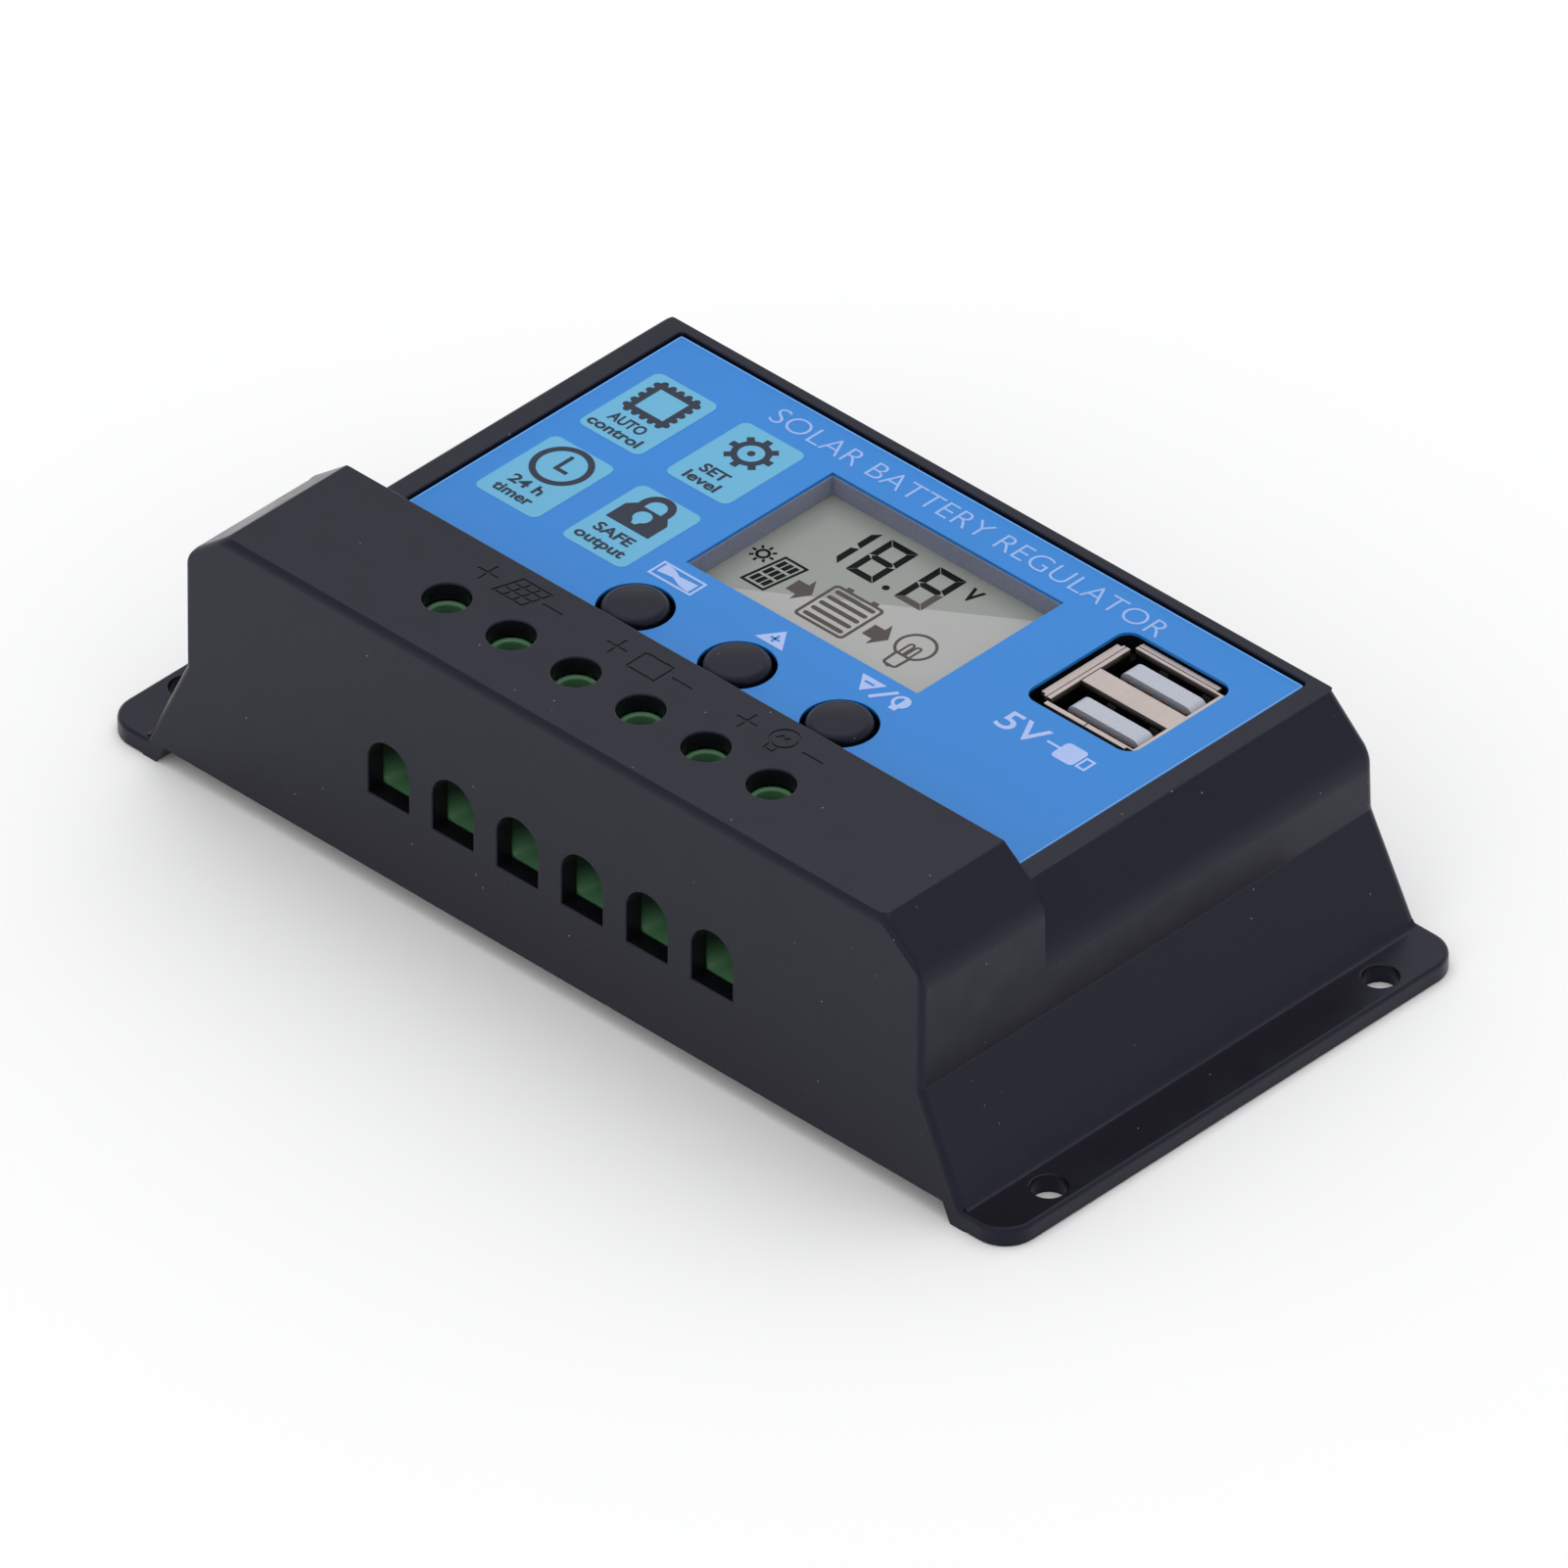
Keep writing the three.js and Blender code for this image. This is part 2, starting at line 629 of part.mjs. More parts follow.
const boardScrew = geometryOf(panScrew(1, 2.1, 1.4, 7));
[-boardBoss.x, boardBoss.x].forEach((x, i) =>
  add(`board_screw_${i + 1}`, boardScrew, 'steel', [x, boardBoss.y, board.bottom]));

const buttonNames = ['mode', 'up', 'down'];
const cap = geometryOf(buttonCap());
const stem = geometryOf(switchStem());
const switchCase = geometryOf(switchBody());
buttonNames.forEach((name, i) => {
  const place = [buttonX[i], buttonY, 0];
  add(`button_${name}`, cap, 'button', place);
  add(`switch_stem_${name}`, stem, 'chip', place);
  add(`switch_${name}`, switchCase, 'chip', place);
});

const block = geometryOf(terminalBlock());
['solar', 'battery', 'load'].forEach((name, i) =>
  add(`terminal_block_${name}`, block, 'terminal', [(i - 1) * 2 * pitch, 0, 0]));

const bar = geometryOf(contactBar());
const clamp = geometryOf(clampCage());
const clampScrew = geometryOf(terminalScrew());
poleX.forEach((x, i) => {
  add(`contact_bar_${i + 1}`, bar, 'brass', [x, 0, 0]);
  add(`clamp_cage_${i + 1}`, clamp, 'steel', [x, screwY, 0]);
  add(`terminal_screw_${i + 1}`, clampScrew, 'steel', [x, screwY, 0]);
});

add('lcd_glass', lcdPanel(glass.bottom, glass.top, 0), 'glass');
add('lcd_backlight', lcdPanel(backlight.bottom, glass.bottom, backlight.inset), 'diffuser');
add('lcd_holder', lcdHolder(), 'holder');
add('lcd_pins', lcdPins(), 'brass');

add('usb_shell', usbShell(), 'shell', [usb.x, usb.y, 0]);
add('usb_insulator', usbInsulator(), 'insulator', [usb.x, usb.y, 0]);

add('main_board', mainBoard(), 'board');
add('capacitor_large', capacitor(6.2, 13), 'sleeve', [-36, 18, board.top]);
add('capacitor_small', capacitor(3.6, 11.5), 'sleeve', [-25, 18, board.top]);
add('inductor', inductor(), 'ferrite', [33, 0, board.top]);
add('microcontroller', chip(6.4, 3.7, 2.3, 8, 1.5), 'chip', [-35, -2, board.top]);
add('usb_regulator', chip(2.5, 2, 1.6, 4, 1.27), 'chip', [23.8, 2.5, board.top]);
add('current_shunt', shunt(), 'brass', [-30, -14, board.top]);

add('thermal_pad', box(-31, 31, -14.5, 2, plate.top, plate.top + 0.4), 'pad');
const fet = geometryOf(transistor());
[-22.5, -7.5, 7.5, 22.5].forEach((x, i) =>
  add(`transistor_${i + 1}`, fet, 'chip', [x, -5, plate.top + 0.4]));

export default controller;
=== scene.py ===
import json
from math import atan2, copysign, cos, degrees, hypot, pi, radians, sin, sqrt, tan

import bmesh
import bpy
from mathutils import Matrix, Vector


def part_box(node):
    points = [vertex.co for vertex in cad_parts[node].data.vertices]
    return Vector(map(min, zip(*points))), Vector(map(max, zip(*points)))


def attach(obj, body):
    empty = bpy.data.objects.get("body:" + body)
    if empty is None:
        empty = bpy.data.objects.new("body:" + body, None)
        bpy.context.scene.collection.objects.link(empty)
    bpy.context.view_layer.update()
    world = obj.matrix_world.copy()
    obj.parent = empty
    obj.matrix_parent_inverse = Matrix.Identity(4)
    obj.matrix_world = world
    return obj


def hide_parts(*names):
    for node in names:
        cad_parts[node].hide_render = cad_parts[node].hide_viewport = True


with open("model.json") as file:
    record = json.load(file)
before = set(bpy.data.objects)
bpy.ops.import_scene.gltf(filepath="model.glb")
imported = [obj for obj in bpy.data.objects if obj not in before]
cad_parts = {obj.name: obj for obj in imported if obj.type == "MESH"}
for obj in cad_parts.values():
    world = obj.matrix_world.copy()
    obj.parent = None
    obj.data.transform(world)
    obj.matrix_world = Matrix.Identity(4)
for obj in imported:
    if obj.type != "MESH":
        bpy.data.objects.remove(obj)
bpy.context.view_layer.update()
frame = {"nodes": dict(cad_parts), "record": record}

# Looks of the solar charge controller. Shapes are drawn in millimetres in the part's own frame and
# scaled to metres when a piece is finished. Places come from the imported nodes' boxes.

MM = 0.001
scene = bpy.context.scene


def span(node):
    """Lowest and highest corner of a CAD node in millimetres."""
    low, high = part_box(node)
    return low / MM, high / MM


def centre(node):
    low, high = span(node)
    return (low + high) / 2


# ---------- sizes, in millimetres

case_low, case_high = span("housing")
CASE_HALF = case_high.x
CASE_DEPTH = case_high.y
CASE_TOP = case_high.z

# End outline of the case: the crease above the ear, the slope, the upright and the top chamfer.
CREASE_HALF = 60.2
CREASE_Z = 2.2
SIDE_HALF = 54.2
SLOPE_TOP = 14.85
RIM_TOP = 27.8
RIM_CHAMFER = 22.2
RIM_TOP_HALF = 48.7
HUMP_CHAMFER = 29.7
HUMP_TOP_HALF = 48.2
FRONT_LEAN = 0.5 / CASE_TOP  # how fast the front and back walls lean in
BACK_LEAN = 1.28 / CASE_TOP
FRONT_EDGE = (0.5, 1.25)  # depth and height of the rounded edge along the top of the front wall
SIDE_WALL = 2.4
END_WALL = 2.3
ROOF = 2.0
FOOT = 2.4
EAR_TOP = 2.3
EAR_CORNER = 4
EAR_HOLE = 2
EAR_HOLE_X = 63.6
EAR_HOLE_Y = 25.3

label_low, label_high = span("front_label")
LABEL_FLOOR = label_low.z
LABEL_TOP = label_high.z
HUMP_BACK = label_low.y - 0.12
RECESS_HALF = label_high.x + 0.26
RECESS_BACK = label_high.y + 0.26
WINDOW = (-16.8, 17.2, 3.2, 25.6)
USB_CUT = (25.2, 40.9, 10.7, 27.0)
USB_CUT_R = 1.8
BUTTON_HOLE = 4.3

BUTTONS = {name: centre(f"button_{name}") for name in ("mode", "up", "down")}
SCREWS = {i: centre(f"terminal_screw_{i}") for i in range(1, 7)}
SCREW_Y = SCREWS[1].y
ACCESS_HOLE = 2.65
SLOT_HALF = 3.0
SLOT_SILL = 12.3
SLOT_SPRING = 16.75
SLOT_DEEP = 6 - CASE_DEPTH
MARK_Y = -19.5  # line of the engraved marks behind the access holes
MARK_DEPTH = 0.09
MARK_WIDTH = 0.3

GLASS_TOP = span("lcd_glass")[1].z

FILM = 0.03  # thickness of one printed layer
SUNK = 0.01  # how far a print reaches into what it is printed on
BEYOND = 70  # past the part on every side, for the ends of cutting shapes


# Where the side, front and back walls are at the height z.

def side_at(z):
    return SIDE_HALF + max(0, SLOPE_TOP - z) * (CREASE_HALF - SIDE_HALF) / (SLOPE_TOP - CREASE_Z)


def front_at(z):
    return z * FRONT_LEAN - CASE_DEPTH


def back_at(z):
    return CASE_DEPTH - z * BACK_LEAN


# ---------- outlines and shapes
# A shape is a pair of lists, points and faces, so that shapes add up into one piece. A flat shape
# lies between the heights 0 and 1, and raised() gives it its place and thickness.

def arc(x, y, r, start, end, steps=8):
    angles = [radians(start + (end - start) * i / steps) for i in range(steps + 1)]
    return [(x + r * cos(a), y + r * sin(a)) for a in angles]


def circle(x, y, r, steps=64):
    return [(x + r * cos(2 * pi * i / steps), y + r * sin(2 * pi * i / steps)) for i in range(steps)]


def rounded(x0, x1, y0, y1, r, steps=8):
    return (arc(x1 - r, y0 + r, r, -90, 0, steps) + arc(x1 - r, y1 - r, r, 0, 90, steps)
            + arc(x0 + r, y1 - r, r, 90, 180, steps) + arc(x0 + r, y0 + r, r, 180, 270, steps))


def box_outline(x0, x1, y0, y1):
    return [(x0, y0), (x1, y0), (x1, y1), (x0, y1)]


def quads(a, b, n):
    """Faces between two rings of n points whose first points have the numbers a and b."""
    return [(a + i, a + (i + 1) % n, b + (i + 1) % n, b + i) for i in range(n)]


def loft(rings):
    n = len(rings[0])
    points = [p for some_ring in rings for p in some_ring]
    last = len(points) - n
    faces = [tuple(reversed(range(n))), tuple(range(last, last + n))]
    for a in range(0, last, n):
        faces += quads(a, a + n, n)
    return points, faces


def slab(outline, z0=0, z1=1):
    return loft([[(x, y, z) for x, y in outline] for z in (z0, z1)])


def block(x0, x1, y0, y1, z0=0, z1=1):
    return slab(box_outline(x0, x1, y0, y1), z0, z1)


def cross(x, y, arm, long_arm, width, z0, z1):
    """The two bars of a cross recess, the first one long_arm to each side."""
    return [block(x - long_arm, x + long_arm, y - width, y + width, z0, z1),
            block(x - width, x + width, y - arm, y + arm, z0, z1)]


def band(outer, inner, z0=0, z1=1):
    """A closed strip between two outlines with the same number of points."""
    n = len(outer)
    loops = (outer, z0), (outer, z1), (inner, z1), (inner, z0)
    points = [(x, y, z) for line, z in loops for x, y in line]
    faces = []
    for k in range(4):
        faces += quads(k * n, (k + 1) % 4 * n, n)
    return points, faces


def ring(x, y, outer, inner, steps=64):
    return band(circle(x, y, outer, steps), circle(x, y, inner, steps))


def framed(x0, x1, y0, y1, line, z0=0, z1=1):
    inner = box_outline(x0 + line, x1 - line, y0 + line, y1 - line)
    return band(box_outline(x0, x1, y0, y1), inner, z0, z1)


def stroke(p, q, width=MARK_WIDTH):
    (x0, y0), (x1, y1) = p, q
    length = hypot(x1 - x0, y1 - y0)
    nx, ny = -(y1 - y0) / length * width / 2, (x1 - x0) / length * width / 2
    return slab([(x0 - nx, y0 - ny), (x1 - nx, y1 - ny), (x1 + nx, y1 + ny), (x0 + nx, y0 + ny)])


def path(points, width=MARK_WIDTH):
    return [stroke(p, q, width) for p, q in zip(points, points[1:])]


def lathe(profile, x=0, y=0, segments=64):
    """A turned shape from (radius, height) pairs that start and end on the axis."""
    points = [(x, y, profile[0][1])]
    for r, z in profile[1:-1]:
        points += [(px, py, z) for px, py in circle(x, y, r, segments)]
    points.append((x, y, profile[-1][1]))
    rings = len(profile) - 2
    top = len(points) - 1
    faces = []
    for i in range(segments):
        j = (i + 1) % segments
        faces.append((0, 1 + j, 1 + i))
        for k in range(rings - 1):
            a = 1 + k * segments
            faces.append((a + i, a + j, a + segments + j, a + segments + i))
        last = 1 + (rings - 1) * segments
        faces.append((last + i, last + j, top))
    return points, faces


def rod(x, y, r, z0, z1, segments=64):
    return slab(circle(x, y, r, segments), z0, z1)


def along_y(outline, y0, y1):
    return loft([[(x, y, z) for x, z in outline] for y in (y0, y1)])


def along_x(outline, x0, x1):
    return loft([[(x, y, z) for y, z in outline] for x in (x0, x1)])


def raised(shapes, low, high):
    return [([(x, y, low + z * (high - low)) for x, y, z in points], faces) for points, faces in shapes]


def merged(shapes):
    points, faces = [], []
    for some_points, some_faces in shapes:
        base = len(points)
        points += some_points
        faces += [tuple(i + base for i in face) for face in some_faces]
    return points, faces


# ---------- mesh tools

def placed(name, data):
    obj = bpy.data.objects.new(name, data)
    scene.collection.objects.link(obj)
    return obj


def make(name, shape):
    points, faces = shape
    mesh = bpy.data.meshes.new(name)
    mesh.from_pydata(points, [], faces)
    tidy = bmesh.new()
    tidy.from_mesh(mesh)
    bmesh.ops.recalc_face_normals(tidy, faces=tidy.faces)
    tidy.to_mesh(mesh)
    tidy.free()
    return placed(name, mesh)


def shown_mesh(obj):
    graph = bpy.context.evaluated_depsgraph_get()
    return bpy.data.meshes.new_from_object(obj.evaluated_get(graph))


def settle(obj):
    """Turns the object's modifiers into its mesh."""
    mesh = shown_mesh(obj)
    obj.modifiers.clear()
    obj.data = mesh
    return obj


def combine(obj, operation, shapes):
    for shape in shapes:
        tool = shape if isinstance(shape, bpy.types.Object) else make("tool", shape)
        step = obj.modifiers.new(operation, "BOOLEAN")
        step.operation = operation
        step.solver = "MANIFOLD"
        step.object = tool
        settle(obj)
        bpy.data.objects.remove(tool)
    return obj


def carve(obj, *shapes):
    return combine(obj, "DIFFERENCE", shapes)


def unite(obj, *shapes):
    return combine(obj, "UNION", shapes)


def as_shape(obj):
    """The points and faces of a piece, which is taken out of the scene."""
    points = [tuple(v.co) for v in obj.data.vertices]
    faces = [tuple(f.vertices) for f in obj.data.polygons]
    bpy.data.objects.remove(obj)
    return points, faces


def fused(shapes):
    """Overlapping shapes joined so that no two of their faces share a place."""
    return as_shape(unite(make("fused", shapes[0]), *shapes[1:]))


WIDEST_ROUND = 2.6


def bevel_by(obj, width_of, segments):
    """Rounds each edge by width_of(one end, other end), in millimetres up to WIDEST_ROUND."""
    mesh = obj.data
    weights = mesh.attributes.new("bevel_weight_edge", "FLOAT", "EDGE")
    for edge in mesh.edges:
        a, b = (mesh.vertices[i].co for i in edge.vertices)
        weights.data[edge.index].value = width_of(a, b) / WIDEST_ROUND
    step = obj.modifiers.new("round", "BEVEL")
    step.width = WIDEST_ROUND
    step.limit_method = "WEIGHT"
    step.segments = segments
    step.use_clamp_overlap = True
    return settle(obj)


def bevel_all(obj, width, segments=2, angle=30, trim=False):
    """Rounds all sharp edges; with trim, the rounded faces take the second material."""
    if trim:
        obj.data.materials.append(None)
        obj.data.materials.append(None)
    step = obj.modifiers.new("round", "BEVEL")
    step.width = width
    step.material = 1 if trim else -1
    step.limit_method = "ANGLE"
    step.angle_limit = radians(angle)
    step.segments = segments
    return settle(obj)


def finished(obj, slot, node=None, body="case", look=None, smooth=32, weighted=True, trim=None):
    """Brings a piece to metres, gives it its look (the slot's material unless look is given) and its body,
    and hides the node it replaces.
    """
    obj.data.transform(Matrix.Scale(MM, 4))
    obj.data.polygons.foreach_set("use_smooth", [True] * len(obj.data.polygons))
    obj.data.set_sharp_from_angle(angle=radians(smooth))
    if weighted:
        even = obj.modifiers.new("even_normals", "WEIGHTED_NORMAL")
        even.keep_sharp = True
        even.weight = 100
    places = [0] * len(obj.data.polygons)
    obj.data.polygons.foreach_get("material_index", places)
    obj.data.materials.clear()
    obj.data.materials.append(MATERIALS[look or slot])
    if trim:
        obj.data.materials.append(MATERIALS[trim])
        obj.data.polygons.foreach_set("material_index", places)
    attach(obj, body)
    if node:
        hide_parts(node)


# ---------- materials

class Graph:
    """A material's node tree with its shader, and short ways to add nodes to it."""

    def __init__(self):
        self.material = bpy.data.materials.new("look")
        self.material.use_nodes = True
        self.tree = self.material.node_tree
        self.shader = self.tree.nodes["Principled BSDF"]
        self.coords = self.add("ShaderNodeTexCoord").outputs["Object"]

    def add(self, kind, inputs=None, **settings):
        node = self.tree.nodes.new(kind)
        for key, value in settings.items():
            setattr(node, key, value)
        for key, value in (inputs or {}).items():
            self.feed(node.inputs[key], value)
        return node

    def feed(self, socket, value):
        if isinstance(value, bpy.types.NodeSocket):
            self.tree.links.new(value, socket)
        else:
            socket.default_value = value

    def set(self, **values):
        for key, value in values.items():
            self.feed(self.shader.inputs[key.replace("_", " ")], value)

    def stretched(self, scale):
        return self.add("ShaderNodeMapping", {"Vector": self.coords, "Scale": scale}).outputs[0]

    def noise(self, size, detail=3.0, rough=0.5, coords=None):
        """Soft noise whose features are about size metres wide."""
        return self.add("ShaderNodeTexNoise", {
            "Vector": coords or self.coords, "Scale": 1 / size, "Detail": detail,
            "Roughness": rough}).outputs["Fac"]

    def ranged(self, value, low, high, to_low=0.0, to_high=1.0):
        return self.add("ShaderNodeMapRange", {
            "Value": value, "From Min": low, "From Max": high,
            "To Min": to_low, "To Max": to_high}).outputs[0]

    def math(self, operation, a, b=0.0):
        return self.add("ShaderNodeMath", {0: a, 1: b}, operation=operation).outputs[0]

    def blend(self, factor, a, b):
        return self.add("ShaderNodeMix", {0: factor, 6: a, 7: b}, data_type="RGBA").outputs[2]

    def mottled(self, cloud, colour, spread):
        return self.blend(cloud, shade(colour, 1 - spread), shade(colour, 1 + spread))

    def bump(self, height, strength, distance):
        return self.add("ShaderNodeBump", {
            "Height": height, "Strength": strength, "Distance": distance}).outputs[0]

    def height(self):
        return self.add("ShaderNodeSeparateXYZ", {"Vector": self.coords}).outputs["Z"]

    def worn_and_highlit_edges(self, radius):
        """1 on sharp outer edges and 0 on flat faces."""
        soft = self.add("ShaderNodeBevel", {"Radius": radius}, samples=4).outputs[0]
        true = self.add("ShaderNodeNewGeometry").outputs["Normal"]
        dot = self.add("ShaderNodeVectorMath", {0: soft, 1: true}, operation="DOT_PRODUCT").outputs["Value"]
        return self.ranged(dot, 0.995, 0.86)


def shade(colour, factor):
    return tuple(min(1.0, c * factor) for c in colour) + (1.0,)


def painted_depth_shade(g, tone, colour, low, high):
    """Fades a tone to a dark one from the height high down to the height low, in metres: painted shade."""
    return g.blend(g.ranged(g.height(), low, high, 1.0, 0.0), tone, shade(colour, 0.05))


def painted_sill_light_and_shade(g, tone, colour, sill, crown, top):
    """Brightens a tone near the height sill as painted light and dims it from crown up to top as painted
    shade, heights in metres.
    """
    height = g.height()
    fade = 0.0004
    tone = g.blend(g.ranged(height, sill, crown, 1.0, 0.0), tone, shade(colour, 1.4))
    shadow = g.math("MINIMUM", g.ranged(height, sill, crown),
                    g.ranged(height, top - fade, top, 1.0, 0.0))
    return g.blend(shadow, tone, shade(colour, 0.12))


def moulded(colour, rough, grain=0.00022, strength=0.35, mottle=0.12, wear_and_highlight=0.0, specular=0.5,
            tint=(1, 1, 1, 1), dust=0.0, depth_shade=None, sill=None):
    """Moulded plastic: fine eroded texture, faint flow mottling, uneven gloss and lighter edges, partly worn
    and partly a painted highlight; where asked, painted shade towards the bottom and painted light and shade
    at a sill.
    """
    g = Graph()
    cloud = g.noise(0.016, 4.0, 0.6)
    grit = g.noise(grain, 2.0, 0.6)
    tone = g.mottled(cloud, colour, mottle)
    speck = g.ranged(grit, 0.35, 0.75, 0.0, 0.35)
    tone = g.blend(speck, tone, shade(colour, 1.5))
    # lighter edges: wear, and on the terminal collars a painted highlight
    if wear_and_highlight:
        edge = g.math("MULTIPLY", g.worn_and_highlit_edges(0.00035), g.ranged(g.noise(0.003), 0.35, 0.7, 0.2, 1.0))
        tone = g.blend(g.math("MULTIPLY", edge, wear_and_highlight), tone, shade(colour, 3.2))
    if dust:
        cells = g.add("ShaderNodeTexVoronoi", {"Vector": g.coords, "Scale": 340.0}).outputs["Distance"]
        tone = g.blend(g.ranged(cells, 0.040, 0.015, 0.0, dust), tone, (0.30, 0.30, 0.34, 1))
    # painted shade: darker towards the bottom
    if depth_shade:
        tone = painted_depth_shade(g, tone, colour, *depth_shade)
    # painted light at the sill and painted shade above it
    if sill:
        tone = painted_sill_light_and_shade(g, tone, colour, *sill)
    rougher = g.ranged(g.noise(0.005, 3.0, 0.6), 0.3, 0.7, rough - 0.05, rough + 0.06)
    g.set(Base_Color=tone, Roughness=rougher, Specular_IOR_Level=specular, Specular_Tint=tint,
          Normal=g.bump(grit, strength, 0.00002))
    return g.material


def metal(colour, rough, grain, depth_shade=None):
    """Plated or rolled metal with fine drawing lines, stains and small scratches; where asked, painted shade
    towards the bottom.
    """
    g = Graph()
    lines = g.noise(0.0009, 3.0, 0.7, g.stretched(grain))
    stain = g.noise(0.004, 4.0, 0.6)
    tone = g.mottled(stain, colour, 0.1)
    tone = g.blend(g.ranged(lines, 0.4, 0.75, 0.0, 0.3), tone, shade(colour, 0.62))
    # painted shade: darker towards the bottom
    if depth_shade:
        tone = painted_depth_shade(g, tone, colour, *depth_shade)
    rougher = g.ranged(lines, 0.3, 0.7, rough - 0.07, rough + 0.12)
    g.set(Base_Color=tone, Metallic=1.0, Roughness=rougher, Normal=g.bump(lines, 0.12, 0.00002))
    return g.material


def circuit_board():
    g = Graph()
    cells = g.add("ShaderNodeTexVoronoi", {"Vector": g.coords, "Scale": 260.0}, distance="MANHATTAN")
    track = g.ranged(cells.outputs["Distance"], 0.30, 0.34)
    mask = (0.02, 0.10, 0.035)
    tone = g.blend(track, shade(mask, 1), shade(mask, 1.7))
    tone = g.blend(g.ranged(g.noise(0.0011, 2.0), 0.45, 0.7, 0, 0.3), tone, shade(mask, 0.6))
    g.set(Base_Color=tone, Roughness=g.ranged(g.noise(0.002), 0.3, 0.7, 0.28, 0.42),
          Normal=g.bump(track, 0.3, 0.00004), Coat_Weight=0.3, Coat_Roughness=0.2)
    return g.material


def label_film():
    """Printed film: an even blue with faint press streaks and a very fine satin texture."""
    blue = (0.010, 0.196, 0.600)
    g = Graph()
    cloud = g.noise(0.02, 4.0, 0.6)
    streak = g.noise(0.0006, 2.0, 0.5, g.stretched((0.06, 1, 1)))
    tone = g.mottled(cloud, blue, 0.05)
    tone = g.blend(g.ranged(streak, 0.3, 0.7, 0.0, 0.12), tone, shade(blue, 0.85))
    satin = g.noise(0.00016, 2.0, 0.6)
    g.set(Base_Color=tone, Roughness=g.ranged(cloud, 0.3, 0.7, 0.40, 0.50), Specular_IOR_Level=0.45,
          Normal=g.bump(satin, 0.12, 0.00001))
    return g.material


def ink(colour, rough=0.5, ragged=0.08, specular=0.4):
    """Screen-printed ink: slightly uneven cover and a dry surface."""
    g = Graph()
    cover = g.noise(0.00045, 3.0, 0.6)
    broad = g.noise(0.006, 2.0)
    tone = g.mottled(cover, colour, ragged)
    tone = g.blend(g.ranged(broad, 0.35, 0.65, 0, 0.3), tone, shade(colour, 1 - ragged))
    g.set(Base_Color=tone, Roughness=g.ranged(cover, 0.3, 0.7, rough - 0.06, rough + 0.06),
          Specular_IOR_Level=specular, Normal=g.bump(cover, 0.15, 0.000008))
    return g.material


def display_glass():
    """Grey-green reflective display under a film, its lower right half paler along a diagonal: a painted
    reflection.
    """
    g = Graph()
    axes = g.add("ShaderNodeSeparateXYZ", {"Vector": g.coords})
    x0, x1, y0, y1 = (MM * side for side in WINDOW)
    slope = (y1 - y0) / (x1 - x0)
    level = g.math("SUBTRACT", axes.outputs["Y"], g.math("MULTIPLY", axes.outputs["X"], slope))
    middle, blur = y0 - slope * x0, 0.00005
    # the lower right half lighter: a painted reflection
    painted_reflection_side = g.ranged(level, middle + blur, middle - blur)
    grey = (0.255, 0.27, 0.25)
    reflection_tone = (0.375, 0.378, 0.368)
    cloud = g.noise(0.009)
    spark = g.noise(0.00009, 1.0)
    tone = g.blend(painted_reflection_side, g.mottled(cloud, grey, 0.04), g.mottled(cloud, reflection_tone, 0.03))
    tone = g.blend(g.ranged(spark, 0.4, 0.7, 0.0, 0.16), tone, shade(grey, 1.3))
    g.set(Base_Color=tone, Roughness=g.ranged(cloud, 0.3, 0.7, 0.26, 0.34), Specular_IOR_Level=0.35,
          Coat_Weight=0.25, Coat_Roughness=0.12, Normal=g.bump(spark, 0.05, 0.000005))
    return g.material


PORT_TOP = span("usb_shell")[1].z * MM
COOL = (0.61, 0.62, 1.0, 1)  # faintly blue sheen of the dark plastics

